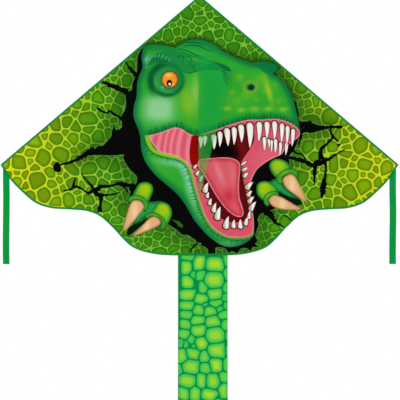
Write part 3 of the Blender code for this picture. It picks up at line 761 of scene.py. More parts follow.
def print_shapes():
    """Every flat shape of the print, the lowest first: its outline and how it is painted."""
    line = sail_outline()
    seeds = scatter(line.min(0), line.max(0), 11, 26000, below_edges)
    shapes = [(cell, scale_paint(cell, i)) for i, cell in enumerate(pebbles(seeds, mortar_width, 0.80))]
    black, dark, shadow = plain(3, 4, 3), plain(4, 84, 44), plain(0, 66, 38)
    shapes.append((hole_line, black))
    for i, crack in enumerate(CRACKS):
        shapes.append((stroke([(x, z, 1.3 * wide + 0.6) for x, z, wide in crack], 0.35, i), black))
    splinter = np.array(SPLINTER, float)
    shapes += [
        (smooth(BLOB), black), (splinter, scale_paint(splinter, 1)), (head_line, head_paint),
        (smooth(HORN), horn_paint), (brow_line, brow_paint), *((stroke(crease), dark) for crease in CREASES),
    ]
    pale = plain(120, 196, 170)
    for x, z, lean in RIDGE_LIGHTS:
        shapes.append((stroke([(x, z, 0.8), (x + lean, z + 6, 2.4), (x + 1.6 * lean, z + 10, 0.6)]), pale))
    shapes += [(tick, shadow) for tick in fringe(upper_lip, 9.0, 10, 24, 3)]
    shapes += [(tick, dark) for tick in fringe(jaw_line, 12.5, 9, 18, 4)]
    # eye, nostril and mouth
    shapes += [
        (circle(*EYE, EYE_RADIUS + 2.5), plain(20, 84, 44)), (circle(*EYE, EYE_RADIUS), eyeball_paint),
        (circle(-91, -264, 8.5, 10.5), plain(12, 10, 12)),
        (circle(-90, -266.5, 3.4, 4.0), plain(246, 250, 255)),
        (circle(154, -276, 13, 11), plain(54, 128, 40)),
        (circle(156, -277, 9.5, 8.5), plain(2, 52, 56)),
        (lip_line, lip_paint), (mouth_line, mouth_paint),
        (smooth(THROAT), throat_paint), (tongue_line, tongue_paint),
    ]
    maroon = plain(70, 8, 14)
    for row in (REAR_TEETH, UPPER_TEETH, LOWER_TEETH):
        shapes += [(tooth(*one, grow=2.4), maroon) for one in row]
        slim = [(x, z, 0.86 * wide, tip_x, tip_z) for x, z, wide, tip_x, tip_z in row]
        shapes += [(tooth(*one), tooth_paint(*one)) for one in slim]
    hands = (
        (PALM_LEFT, PALM_SHADOWS[0], (FINGER_LEFT_1, -165, -585), (FINGER_LEFT_2, -108, -645)),
        (PALM_RIGHT, PALM_SHADOWS[1], (FINGER_RIGHT_1, 238, -508), (FINGER_RIGHT_2, 196, -580)),
    )

    def add(points, paint, *light):
        line = smooth(points)
        shapes.append((line, paint(line, *light)))

    for palm, shade, *fingers in hands:
        add(palm, palm_paint)
        shapes.append((smooth(shade), plain(2, 26, 10)))
        for finger, x, z in fingers:
            add(finger, finger_paint, x, z)
    for cuff in (CUFF_LEFT_1, CUFF_LEFT_2, CUFF_RIGHT_1, CUFF_RIGHT_2):
        add(cuff, cuff_paint)
    for claw, x, z in (
        (CLAW_LEFT_1, -196, -650), (CLAW_LEFT_2, -160, -698),
        (CLAW_RIGHT_1, 280, -572), (CLAW_RIGHT_2, 250, -628),
    ):
        add(claw, claw_paint, x, z)
    return shapes


def divided(loop, step):
    """A closed outline with points added, so that no side is longer than a step."""
    found = []
    for a, b in zip(loop, np.roll(loop, -1, 0)):
        count = max(1, math.ceil(np.linalg.norm(b - a) / step))
        found += [a + (b - a) * i / count for i in range(count)]
    return np.array(found)


def triangulate(boundary, shapes, lines, pitch):
    """The area inside boundary as triangles that keep to every shape's outline."""
    boundary = divided(boundary, pitch)
    points, edges = [], []
    for loop, closed in [(boundary, True), *((s, True) for s, _ in shapes), *((l, False) for l in lines)]:
        start = len(points)
        points += [Vector(p) for p in loop]
        edges += [(start + i, start + i + 1) for i in range(len(loop) - 1)]
        if closed:
            edges.append((len(points) - 1, start))
    low, high = boundary.min(0), boundary.max(0)
    rows = np.arange(low[1] + pitch / 2, high[1], pitch * 0.87)
    for i, z in enumerate(rows):
        points += [Vector((x, z)) for x in np.arange(low[0] + pitch * (0.3 + i % 2 / 2), high[0], pitch)]
    made = delaunay_2d_cdt(points, edges, [], 0, 0.02, False)
    flat = np.array([tuple(v) for v in made[0]])
    faces = np.array([f for f in made[2] if len(f) == 3])
    faces = faces[inside(flat[faces].mean(1), boundary)]
    a, b, c = (flat[faces[:, i]] for i in range(3))
    turn = (b[:, 0] - a[:, 0]) * (c[:, 1] - a[:, 1]) - (b[:, 1] - a[:, 1]) * (c[:, 0] - a[:, 0])
    faces[turn < 0] = faces[turn < 0][:, ::-1]
    return flat, faces[np.abs(turn) > 1e-4]


def painted(flat, faces, base_paint, shapes):
    """A colour for each corner of each triangle: that of the highest shape which the triangle lies in."""
    middles = flat[faces].mean(1)
    owner = np.full(len(faces), -1)
    for i, (line, _) in enumerate(shapes):
        owner[inside(middles, line)] = i
    colours = np.zeros((len(faces), 3, 3))
    for i in np.unique(owner):
        mine = faces[owner == i]
        used, back = np.unique(mine, return_inverse=True)
        paint = base_paint if i < 0 else shapes[i][1]
        colours[owner == i] = paint(flat[used])[back.reshape(mine.shape)]
    colours = np.clip(colours, 0, 1)
    return np.where(colours < 0.04045, colours / 12.92, ((colours + 0.055) / 1.055) ** 2.4)


# ---------------------------------------------------------------- shader arithmetic
class Term:
    """One output of a shader tree, which ordinary arithmetic turns into Math nodes."""

    def __init__(self, tree, socket):
        self.tree = tree
        self.socket = socket

    def math(self, operation, *values):
        made = self.tree.nodes.new("ShaderNodeMath")
        made.operation = operation
        for slot, value in zip(made.inputs, values):
            plug(self.tree, value, slot)
        return Term(self.tree, made.outputs[0])

    def __add__(self, other):
        return self.math("ADD", self, other)

    def __sub__(self, other):
        return self.math("SUBTRACT", self, other)

    def __rsub__(self, other):
        return self.math("SUBTRACT", other, self)

    def __mul__(self, other):
        return self.math("MULTIPLY", self, other)

    def __truediv__(self, other):
        return self.math("DIVIDE", self, other)

    __radd__ = __add__
    __rmul__ = __mul__

    def sine(self):
        return self.math("SINE", self)

    def step(self, low, high):
        """0 below low, 1 above high, and smooth between."""
        t = (self - low) / (high - low)
        t = t.math("MINIMUM", t.math("MAXIMUM", t, 0.0), 1.0)
        return t * t * (3.0 - 2.0 * t)


def plug(tree, value, slot):
    if isinstance(value, Term):
        tree.links.new(value.socket, slot)
    else:
        slot.default_value = value


class Finish:
    """A material being made: its nodes, and the Principled shader that they feed."""

    def __init__(self, name, roughness=0.6, metallic=0.0, shine=0.5, sheen=0.0):
        self.material = bpy.data.materials.new(name)
        self.material.use_nodes = True
        self.tree = self.material.node_tree
        self.shader = self.tree.nodes["Principled BSDF"]
        self.feed({"Roughness": roughness, "Metallic": metallic})
        self.feed({"Specular IOR Level": shine, "Sheen Weight": sheen})

    def feed(self, inputs):
        for name, value in inputs.items():
            plug(self.tree, value, self.shader.inputs[name])

    def node(self, kind, settings=None, inputs=None, output=0):
        """Any node: its type, what is set on it first, and the values or links of its inputs."""
        made = self.tree.nodes.new("ShaderNode" + kind)
        for key, value in (settings or {}).items():
            if key == "stops":
                set_stops(made.color_ramp, value)
            else:
                setattr(made, key, value)
        for key, value in (inputs or {}).items():
            plug(self.tree, value, made.inputs[key])
        return Term(self.tree, made.outputs[output])

    def place(self):
        return self.node("TexCoord", output="Object")

    def attribute(self, name, output="Vector"):
        return self.node("Attribute", {"attribute_name": name}, output=output)

    def axes(self, vector):
        """x, y and z of a vector."""
        split = self.node("SeparateXYZ", inputs={0: vector}).socket.node
        return [Term(self.tree, out) for out in split.outputs]

    def stretch(self, vector, x, y, z):
        return self.node("VectorMath", {"operation": "MULTIPLY"}, {0: vector, 1: (x, y, z)})

    def noise(self, vector, scale, detail=2.0, roughness=0.5):
        wanted = {"Vector": vector, "Scale": scale, "Detail": detail, "Roughness": roughness}
        return self.node("TexNoise", inputs=wanted)

    def mix(self, factor, a, b, blend="MIX"):
        settings = {"data_type": "RGBA", "blend_type": blend}
        return self.node("Mix", settings, {0: factor, 6: a, 7: b}, output=2)

    def bump(self, height, strength, depth):
        wanted = {"Height": height, "Strength": strength, "Distance": depth}
        self.feed({"Normal": self.node("Bump", inputs=wanted)})


def set_stops(ramp, stops):
    while len(ramp.elements) < len(stops):
        ramp.elements.new(0.5)
    for element, (place, colour) in zip(ramp.elements, stops):
        element.position = place
        element.color = colour


def ink(red, green, blue):
    """A paint colour of 0 to 255 as the shader wants it."""
    values = [v / 255 for v in (red, green, blue)]
    return tuple(v / 12.92 if v < 0.04045 else ((v + 0.055) / 1.055) ** 2.4 for v in values) + (1.0,)


# ---------------------------------------------------------------- finishes
THREADS = 1500.0  # of the woven cloth, to the metre


def weave(finish, place):
    """A plain weave: threads that go over and under each other."""
    x, _, z = finish.axes(place)
    turn = THREADS * math.pi
    height = (x * turn).sine() * (z * turn).sine()
    finish.bump(height, 0.2, 0.00005)
    return height


def printed_cloth(name, fade):
    """Thin polyester with the print dyed in. The back is paler, as the dye doesn't go right through."""
    finish = Finish(name, shine=0.03)
    colour = finish.attribute("print", "Color")
    place = finish.attribute("flat")
    cloudy = finish.noise(place, 9.0, 3.0)
    if fade:
        colour = finish.mix(fade, colour, ink(222, 232, 206))
    height = weave(finish, place)
    patches = finish.mix(cloudy, (1.0, 1.0, 1.0, 1), (0.93, 0.93, 0.93, 1))
    colour = finish.mix(1.0, colour, patches, "MULTIPLY")
    colour = finish.mix(0.06 + 0.04 * height, colour, (0, 0, 0, 1))
    finish.feed({"Base Color": colour, "Roughness": 0.62 + 0.12 * cloudy})
    return finish.material


def dyed_cloth(name, colour, alpha=1.0):
    """Plain dyed polyester with a fine weave and a slight change of shade from place to place."""
    finish = Finish(name, sheen=0.02, shine=0.08)
    place = finish.attribute("flat")
    cloudy = finish.noise(place, 14.0, 3.0)
    height = weave(finish, place)
    base = finish.mix(0.30 * cloudy + 0.06 * height, ink(*colour), darker(colour, 0.68))
    finish.feed({"Base Color": base, "Roughness": 0.60 + 0.12 * cloudy})
    if alpha < 1:
        finish.feed({"Alpha": alpha + 0.01 * height + 0.03 * cloudy})
    return finish.material


def darker(colour, share):
    return tuple(v * share for v in ink(*colour)[:3]) + (1.0,)


def dyed_webbing(name, colour):
    """Narrow woven tape: fine ribs across it, and slightly fluffy."""
    finish = Finish(name, sheen=0.15, shine=0.2)
    x, y, z = finish.axes(finish.attribute("flat"))
    ribs = ((z + 0.35 * x) * 5200.0).sine()
    cords = ((x - 0.35 * z) * 2600.0).sine()
    fluff = finish.noise(finish.attribute("flat"), 900.0, 3.0)
    height = 0.6 * ribs + 0.4 * ribs * cords + 0.5 * fluff
    finish.bump(height, 0.45, 0.0001)
    base = finish.mix(0.30 + 0.22 * ribs + 0.35 * fluff, ink(*colour), darker(colour, 0.45))
    finish.feed({"Base Color": base, "Roughness": 0.74 + 0.12 * fluff})
    return finish.material


def glass_fibre(name):
    """Pultruded rod: long fine streaks of fibre under a satin skin of resin."""
    finish = Finish(name, shine=0.5)
    place = finish.place()
    streaks = finish.noise(finish.stretch(place, 1400.0, 1400.0, 18.0), 1.0, 3.0)
    across = finish.noise(finish.stretch(place, 18.0, 1400.0, 1400.0), 1.0, 3.0)
    fibre = 0.5 * streaks + 0.5 * across
    base = finish.mix(fibre.step(0.38, 0.62), ink(24, 25, 27), ink(58, 60, 62))
    finish.feed({"Base Color": base, "Roughness": 0.30 + 0.22 * fibre})
    finish.bump(fibre, 0.15, 0.00005)
    return finish.material


def soft_vinyl(name):
    """Flexible black vinyl: soft gloss, dusty in places."""
    finish = Finish(name, shine=0.5)
    place = finish.place()
    dust = finish.noise(place, 420.0, 4.0)
    grain = finish.noise(place, 2600.0, 2.0)
    finish.bump(grain, 0.12, 0.00006)
    base = finish.mix(dust.step(0.45, 0.75) * 0.5, ink(26, 27, 29), ink(66, 67, 68))
    finish.feed({"Base Color": base, "Roughness": 0.42 + 0.28 * dust})
    return finish.material


def moulded(name):
    """Moulded nylon: fine spark-eroded texture, faint flow marks."""
    finish = Finish(name, shine=0.5)
    place = finish.place()
    flow = finish.noise(finish.stretch(place, 60.0, 200.0, 200.0), 1.0, 3.0)
    grain = finish.noise(place, 3200.0, 2.0)
    finish.bump(grain, 0.25, 0.00006)
    base = finish.mix(flow, ink(20, 22, 22), ink(46, 50, 50))
    finish.feed({"Base Color": base, "Roughness": 0.46 + 0.16 * grain + 0.08 * flow})
    return finish.material


def eyelet_metal(name):
    """Green lacquer on brass, worn through along the rolled rim."""
    finish = Finish(name, shine=0.5)
    place = finish.place()
    scratch = finish.noise(finish.stretch(place, 900.0, 300.0, 900.0), 1.0, 4.0)
    worn = scratch.step(0.60, 0.72)
    base = finish.mix(worn, ink(40, 150, 60), ink(176, 176, 110))
    finish.feed({"Base Color": base, "Metallic": 0.25 + 0.75 * worn, "Roughness": 0.34 + 0.2 * scratch})
    finish.bump(scratch, 0.10, 0.00005)
    return finish.material


def thread(name):
    """Twisted polyester thread."""
    finish = Finish(name, sheen=0.2, shine=0.3)
    x, _, z = finish.axes(finish.attribute("flat"))
    twist = ((x + z) * 9000.0).sine()
    base = finish.mix(0.35 + 0.30 * twist, ink(20, 128, 66), ink(6, 74, 36))
    finish.feed({"Base Color": base, "Roughness": 0.62 + 0.08 * twist})
    finish.bump(twist, 0.4, 0.00005)
    return finish.material


# ---------------------------------------------------------------- meshes
def keep(name, vertices, faces, material, smooth_faces=True):
    mesh = bpy.data.meshes.new(name)
    mesh.from_pydata([tuple(v) for v in vertices], [], [tuple(f) for f in faces])
    made = bpy.data.objects.new(name, mesh)
    bpy.context.scene.collection.objects.link(made)
    if material is not None:
        mesh.materials.append(material)
    if smooth_faces:
        mesh.shade_smooth()
    return made


def fast_mesh(name, points, triangles):
    """A mesh from arrays of points and triangles."""
    mesh = bpy.data.meshes.new(name)
    mesh.vertices.add(len(points))
    mesh.vertices.foreach_set("co", points.astype(np.float32).ravel())
    mesh.loops.add(triangles.size)
    mesh.loops.foreach_set("vertex_index", triangles.astype(np.int32).ravel())
    mesh.polygons.add(len(triangles))
    mesh.polygons.foreach_set("loop_start", np.arange(len(triangles), dtype=np.int32) * 3)
    mesh.update(calc_edges=True)
    mesh.validate()
    made = bpy.data.objects.new(name, mesh)
    bpy.context.scene.collection.objects.link(made)
    return made


def thin_cloth(name, flat, faces, thickness, depth):
    """A cut of cloth from flat triangles in millimetres, with its depth given at every place.

    Its triangles are those of the front, then the back, then the rim.
    """
    used, again = np.unique(faces, return_inverse=True)
    again = again.reshape(faces.shape)
    at = flat[used] * MM
    y = depth(at[:, 0], at[:, 1])
    both = [np.stack([at[:, 0], y + k, at[:, 1]], 1) for k in (-thickness / 2, thickness / 2)]
    count = len(used)
    rim = [((a, b + count, b), (a, a + count, b + count)) for a, b in open_edges(again)]
    triangles = np.concatenate([again, again[:, ::-1] + count, np.array(rim).reshape(-1, 3)])
    made = fast_mesh(name, np.concatenate(both), triangles)
    store_flat(made.data, np.concatenate([at, at]))
    return made


def printed_piece(name, flat, faces, colours, depth, front, back):
    """A thin cloth with the print on both of its faces, and a material for each face."""
    made = thin_cloth(name, flat, faces, SAIL_CLOTH, depth)
    mesh, count = made.data, len(faces)
    rim = np.full((len(mesh.polygons) - 2 * count, 3, 3), (0.0, 0.25, 0.05))
    shade = np.concatenate([colours, colours[:, ::-1], rim]).reshape(-1, 3)
    layer = mesh.color_attributes.new("print", "FLOAT_COLOR", "CORNER")
    full = np.hstack([shade, np.ones((len(shade), 1))])
    layer.data.foreach_set("color", full.astype(np.float32).ravel())
    mesh.materials.append(front)
    mesh.materials.append(back)
    index = np.zeros(len(mesh.polygons), np.int32)
    index[count : 2 * count] = 1
    mesh.polygons.foreach_set("material_index", index)
    mesh.shade_smooth()
    mesh.set_sharp_from_angle(angle=CREASE)
    return made


def store_flat(mesh, flat):
    """Keeps each point's place on the flat cloth, in metres, for the weave to follow."""
    layer = mesh.attributes.new("flat", "FLOAT_VECTOR", "POINT")
    full = np.stack([flat[:, 0], np.zeros(len(flat)), flat[:, 1]], 1)
    layer.data.foreach_set("vector", full.astype(np.float32).ravel())


def open_edges(triangles):
    """Directed edges that only one triangle has."""
    pairs = np.concatenate([triangles[:, [0, 1]], triangles[:, [1, 2]], triangles[:, [2, 0]]])
    size = pairs.max() + 1
    there = pairs[:, 0] * size + pairs[:, 1]
    back = pairs[:, 1] * size + pairs[:, 0]
    return pairs[~np.isin(there, back)]


# ---------------------------------------------------------------- how the sail hangs
GRID = 0.012
ACROSS = 51  # grid steps from the middle to past the wing tip
DOWN = 67
MOST_BILLOW = 0.0075
HELD_EDGE, HELD_SPINE = 0.017, 0.009  # how wide the cloth is held there
PULL = (0.0, 5.0, -3.0)  # a light wind from the front, and a share of its weight
LAST_STEP = 25
CLOTH_SETTINGS = {
    "vertex_group_mass": "held", "quality": 6, "mass": 0.02, "tension_stiffness": 12,
    "compression_stiffness": 12, "bending_stiffness": 0.4, "shrink_min": -0.010,
}


def grid_places():
    x, z = np.meshgrid((np.arange(2 * ACROSS + 1) - ACROSS) * GRID, (1 - np.arange(DOWN + 1)) * GRID)
    return x, z


def edge_inset(x, z):
    """Distance in from the nearer leading edge."""
    return np.abs(x) * INWARD.x + z * INWARD.z


def room_behind(x, z):
    """How far back the cloth may billow before it meets a spar, the tail or a ribbon."""
    held = soft((edge_inset(x, z) - 0.014) / 0.11) * soft((np.abs(x) - 0.009) / 0.10)
    spar = np.exp(-(((z - SPREADER_Z) / 0.030) ** 2))
    hem = np.exp(-(((np.hypot(x * 0.8, z - SAIL_LOW)) / 0.085) ** 2))
    tip = np.exp(-((np.hypot(np.abs(x) - HALF_SPAN, z + TIP_DROP) / 0.075) ** 2))
    return held * MOST_BILLOW * (1 - 0.80 * spar) * (1 - hem) * (1 - tip)


def simulated_depth(x, z):
    """Cloth held along both edges and the spine, slack by one part in a hundred, with a light wind on it."""
    outline = sail_outline() * MM
    middles = np.stack([x[:-1, :-1] + GRID / 2, z[:-1, :-1] - GRID / 2], -1).reshape(-1, 2)
    chosen = np.nonzero(inside(middles, outline))[0]
    wide = 2 * ACROSS + 1
    row, column = chosen // (wide - 1), chosen % (wide - 1)
    corner = row * wide + column
    quads = np.stack([corner, corner + 1, corner + wide + 1, corner + wide], 1)
    used, again = np.unique(quads, return_inverse=True)
    again = again.reshape(quads.shape)
    ripple = 0.0006 * np.sin(x * 41 + z * 23) + 0.0004 * np.sin(z * 57 - x * 19)
    places = np.stack([x.ravel(), ripple.ravel(), z.ravel()], 1)[used]
    panel = keep("wind_panel", places, again, None)
    held = (edge_inset(places[:, 0], places[:, 2]) < HELD_EDGE) | (np.abs(places[:, 0]) < HELD_SPINE)
    group = panel.vertex_groups.new(name="held")
    group.add([int(i) for i in np.nonzero(held)[0]], 1.0, "REPLACE")
    cloth = panel.modifiers.new("cloth", "CLOTH")
    for key, value in CLOTH_SETTINGS.items():
        setattr(cloth.settings, key, value)
    scene = bpy.context.scene
    scene.gravity = PULL
    for step in range(1, LAST_STEP + 1):
        scene.frame_set(step)
    solved = panel.evaluated_get(bpy.context.evaluated_depsgraph_get())
    depth = np.zeros(x.size)
    depth[used] = [v.co.y for v in solved.data.vertices]
    scene.frame_set(1)
    bpy.data.objects.remove(panel)
    return depth.reshape(x.shape)


def blurred(field):
    """Each value evened out with its four neighbours."""
    wide = np.pad(field, 1, mode="edge")
    beside = wide[1:-1, :-2] + wide[1:-1, 2:] + wide[:-2, 1:-1] + wide[2:, 1:-1]
    return field * 0.5 + beside * 0.125


def hang_of_the_sail():
    x, z = grid_places()
    room = room_behind(x, z)
    depth = np.clip(simulated_depth(x, z), -0.0004, None)
    depth = room * np.tanh(depth / np.maximum(room, 1e-5))
    return blurred(blurred(depth))


def cubic_shares(t):
    """Catmull-Rom weights of four neighbours."""
    return np.stack([-t + 2 * t**2 - t**3, 2 - 5 * t**2 + 3 * t**3, t + 4 * t**2 - 3 * t**3, t**3 - t**2]) / 2


def sag(x, z):
    """Depth of the sail's middle surface at places across it, in metres."""
    x, z = np.asarray(x, float), np.asarray(z, float)
    across = np.clip(x / GRID + ACROSS, 1, 2 * ACROSS - 2)
    down = np.clip(1 - z / GRID, 1, DOWN - 2)
    i, j = across.astype(int), down.astype(int)
    a, b = cubic_shares(across - i), cubic_shares(down - j)
    total = np.zeros(x.shape)
    for m in range(4):
        for n in range(4):
            total += a[m] * b[n] * HANG[j + n - 1, i + m - 1]
    return total


# ---------------------------------------------------------------- sewn strips and turned parts
def ribbon_of(profile, thickness):
    """A closed loop round an open profile, as thick as the cloth."""
    line = np.array(profile, float)
    ahead = np.gradient(line, axis=0)
    ahead /= np.linalg.norm(ahead, axis=1)[:, None]
    normal = np.stack([-ahead[:, 1], ahead[:, 0]], 1) * thickness / 2
    return np.concatenate([line + normal, (line - normal)[::-1]])


def swept(stations, loops):
    """Vertices and faces of a closed loop carried through stations, with both ends closed.

    A station gives where a point (across, deep) of its loop goes.
    """
    count = len(loops[0])
    vertices = [place(u, v) for place, loop in zip(stations, loops) for u, v in loop]
    faces = []
    for s in range(len(stations) - 1):
        for i in range(count):
            a, b = s * count + i, s * count + (i + 1) % count
            faces.append((a, b, b + count, a + count))
    faces.append(tuple(range(count - 1, -1, -1)))
    last = (len(stations) - 1) * count
    faces.append(tuple(range(last, last + count)))
    return vertices, faces


def strip(name, stations, loop, material, sharp):
    """A strip or tunnel that keeps one cross-section all along."""
    return solid(name, [swept(stations, [loop] * len(stations))], material, sharp)


def outward(made):
    """Turns all faces of a closed mesh outwards."""
    bm = bmesh.new()
    bm.from_mesh(made.data)
    bmesh.ops.recalc_face_normals(bm, faces=bm.faces)
    bm.to_mesh(made.data)
    bm.free()
    return made


def settle(made, body, slot, *nodes):
    """Says which body a piece rides on, and the nodes that it stands for. The slot is not used."""
    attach(made, body)
    if nodes:
        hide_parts(*nodes)


def solid(name, parts, material, sharp=math.radians(38)):
    """One object from several (vertices, faces), with smooth shading except at sharp corners."""
    vertices, faces = [], []
    for points, polygons in parts:
        start = len(vertices)
        vertices += [Vector(p) for p in points]
        faces += [tuple(start + i for i in polygon) for polygon in polygons]
    made = outward(keep(name, vertices, faces, material))
    made.data.set_sharp_from_angle(angle=sharp)
    store_rest(made)
    return made


def store_rest(made):
    """Keeps each point's rest place, for patterns that must stay put when a piece bends."""
    layer = made.data.attributes.new("flat", "FLOAT_VECTOR", "POINT")
    rest = np.array([v.co for v in made.data.vertices], np.float32)
    layer.data.foreach_set("vector", rest.ravel())


def turned(start, axis, loop, sides=24):
    """Vertices and faces of a turned part: loop is (distance along the axis, radius), closed on itself
    unless it begins and ends on the axis."""
    start, axis = Vector(start), Vector(axis).normalized()
    side = axis.orthogonal().normalized()
    other = axis.cross(side)
    vertices, faces = [], []
    poles = loop[0][1] == 0
    rings = loop[1:-1] if poles else loop
    for d, r in rings:
        for i in range(sides):
            t = 2 * math.pi * i / sides
            vertices.append(start + axis * d + (side * math.cos(t) + other * math.sin(t)) * r)
    pairs = len(rings) - 1 if poles else len(rings)
    for s in range(pairs):
        for i in range(sides):
            a, b = s * sides + i, s * sides + (i + 1) % sides
            c, d = (b + sides) % (len(rings) * sides), (a + sides) % (len(rings) * sides)
            faces.append((a, b, c, d))
    if poles:
        for (d, _), ring in ((loop[0], 0), (loop[-1], (len(rings) - 1) * sides)):
            vertices.append(start + axis * d)
            top = len(vertices) - 1
            faces += [(top, ring + i, ring + (i + 1) % sides) for i in range(sides)]
    return vertices, faces


def mirrored(parts):
    return [([Vector((-v[0], v[1], v[2])) for v in map(Vector, points)], faces) for points, faces in parts]


def sided(side, parts):
    """Parts drawn for the right side, turned over for the left."""
    return mirrored(parts) if side == "left" else parts


def pucker(s, seed):
    """Small uneven gathering that thread pulls into cloth, from -1 to 1, along a seam."""
    return 0.6 * math.sin(s * 1450 + seed) + 0.4 * math.sin(s * 2370 + seed * 2.7) * math.sin(s * 310 + seed)


def cloth_piece(name, outline, pitch, thickness, depth, material):
    """A plain thin cloth from its outline in millimetres."""
    flat, faces = triangulate(np.array(outline, float), [], [], pitch)
    made = outward(thin_cloth(name, flat, faces, thickness, depth))
    made.data.materials.append(material)
    made.data.shade_smooth()
    made.data.set_sharp_from_angle(angle=CREASE)
    return made


# ---------------------------------------------------------------- thread
def stitch_tree(material):
    """Geometry nodes that lay one stitch after another along every line of a mesh."""
    tree = bpy.data.node_groups.new("stitch_rows", "GeometryNodeTree")
    face = tree.interface
    face.new_socket("Geometry", in_out="INPUT", socket_type="NodeSocketGeometry")
    for name, value in (("Stitch pitch", 0.0028), ("Stitch length", 0.0021), ("Thread radius", 0.00022)):
        made = face.new_socket(name, in_out="INPUT", socket_type="NodeSocketFloat")
        made.default_value = value
    face.new_socket("Seed", in_out="INPUT", socket_type="NodeSocketInt").default_value = 7
    face.new_socket("Geometry", in_out="OUTPUT", socket_type="NodeSocketGeometry")

    def node(kind, inputs=(), **settings):
        made = tree.nodes.new(kind)
        for key, value in settings.items():
            setattr(made, key, value)
        for key, value in dict(inputs).items():
            made.inputs[key].default_value = value
        return made

    given, out = node("NodeGroupInput"), node("NodeGroupOutput")
    curve = node("GeometryNodeMeshToCurve")
    points = node("GeometryNodeCurveToPoints", mode="LENGTH")
    ball = node("GeometryNodeMeshUVSphere", {"Segments": 6, "Rings": 4, "Radius": 1.0})
    place = node("GeometryNodeInstanceOnPoints")
    size = node("ShaderNodeCombineXYZ")
    half = node("ShaderNodeMath", {1: 0.5}, operation="MULTIPLY")
    uneven = node("FunctionNodeRandomValue", {2: 0.88, 3: 1.06}, data_type="FLOAT")
    length = node("ShaderNodeMath", operation="MULTIPLY")
    real = node("GeometryNodeRealizeInstances")
    paint = node("GeometryNodeSetMaterial", {"Material": material})
    for start, outlet, end, inlet in (
        (given, "Geometry", curve, "Mesh"), (curve, "Curve", points, "Curve"),
        (given, "Stitch pitch", points, "Length"), (points, "Points", place, "Points"),
        (points, "Rotation", place, "Rotation"), (ball, "Mesh", place, "Instance"),
        (given, "Stitch length", half, 0), (given, "Seed", uneven, "Seed"), (half, 0, length, 0),
        (uneven, 1, length, 1), (given, "Thread radius", size, "X"), (given, "Thread radius", size, "Y"),
        (length, 0, size, "Z"), (size, 0, place, "Scale"), (place, "Instances", real, "Geometry"),
        (real, "Geometry", paint, "Geometry"), (paint, "Geometry", out, "Geometry"),
    ):
        tree.links.new(start.outputs[outlet], end.inputs[inlet])
    return tree


def stitched(name, lines, seed):
    """All the rows of stitches on one body, as one mesh."""
    vertices, edges = [], []
    for line in lines:
        start = len(vertices)
        vertices += [Vector(p) for p in line]
        edges += [(start + i, start + i + 1) for i in range(len(line) - 1)]
    mesh = bpy.data.meshes.new(name + "_rows")
    mesh.from_pydata(vertices, edges, [])
    path = bpy.data.objects.new(name + "_rows", mesh)
    bpy.context.scene.collection.objects.link(path)
    grow = path.modifiers.new("stitches", "NODES")
    grow.node_group = STITCHES
    sockets = {s.name: s.identifier for s in STITCHES.interface.items_tree if s.in_out == "INPUT"}
    grow[sockets["Seed"]] = seed
    bpy.context.view_layer.update()
    graph = bpy.context.evaluated_depsgraph_get()
    plain_mesh = bpy.data.meshes.new_from_object(path.evaluated_get(graph))
    made = bpy.data.objects.new(name, plain_mesh)
    bpy.context.scene.collection.objects.link(made)
    bpy.data.objects.remove(path)
    made.data.shade_smooth()
    store_rest(made)
    return made


# ---------------------------------------------------------------- the sail and its hems
TEE_AT = (-SPREADER_Z + ROD_INSET * INWARD.z) / -ALONG.z  # along the leading edge
TEE_WINDOW = 0.020  # bare rod on each side of the connector
BEND_FROM, BEND_TO = 0.0045, 0.0095  # the band beside the spine, measured from its middle line
SAIL_PITCH = 4.5  # between the points of the sail's mesh, in millimetres
SLEEVE_STEP, HEM_STEP = 0.0022, 0.003
TUNNEL_CREASE, HEM_CREASE = math.radians(60), math.radians(38)


def bend_with_wing(piece, side):
    """Bakes the piece's transform into its mesh."""
    sign = -1 if side == "left" else 1
    side + "_wing"
    sign * BEND_FROM
    sign * BEND_TO
    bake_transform(piece)


def make_sail(front, back):
    shapes = print_shapes()
    line = sail_outline()
    middle = [np.array(((0.0, -1.0), (0.0, -783.0)))]
    flat, faces = triangulate(line, shapes, middle, SAIL_PITCH)
    colours = painted(flat, faces, mortar_paint, shapes)
    across = flat[faces][:, :, 0].mean(1)
    made = {}
    for side, mine in (("left", across < 0), ("right", across >= 0)):
        half = printed_piece("printed_" + side + "_half", flat, faces[mine], colours[mine], sag, front, back)
        bend_with_wing(half, side)
        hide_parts(side + "_sail", "centre_strip")
        made[side] = half
    return made


def edge_station(e, seed, side=1):
    """Places along the leading edge: across is the inset, deep is behind the sail."""
    at = ALONG * e

    def place(u, v):
        p = at + INWARD * (u + 0.00006 * pucker(e * 0.7, seed + v * 900))
        lift = 0.00010 * pucker(e, seed) * min(1.0, abs(u - 0.0042) / 0.004)
        return Vector((side * p.x, v + lift, p.z))

    return place


def spread(start, end, step):
    count = max(2, int(round((end - start) / step)) + 1)
    return [start + (end - start) * i / (count - 1) for i in range(count)]


def ring(centre, radius, first, last, count=12):
    """Points on part of a circle, angles in degrees."""
    turns = [math.radians(first + (last - first) * i / (count - 1)) for i in range(count)]
    return [(centre[0] + radius * math.cos(t), centre[1] + radius * math.sin(t)) for t in turns]


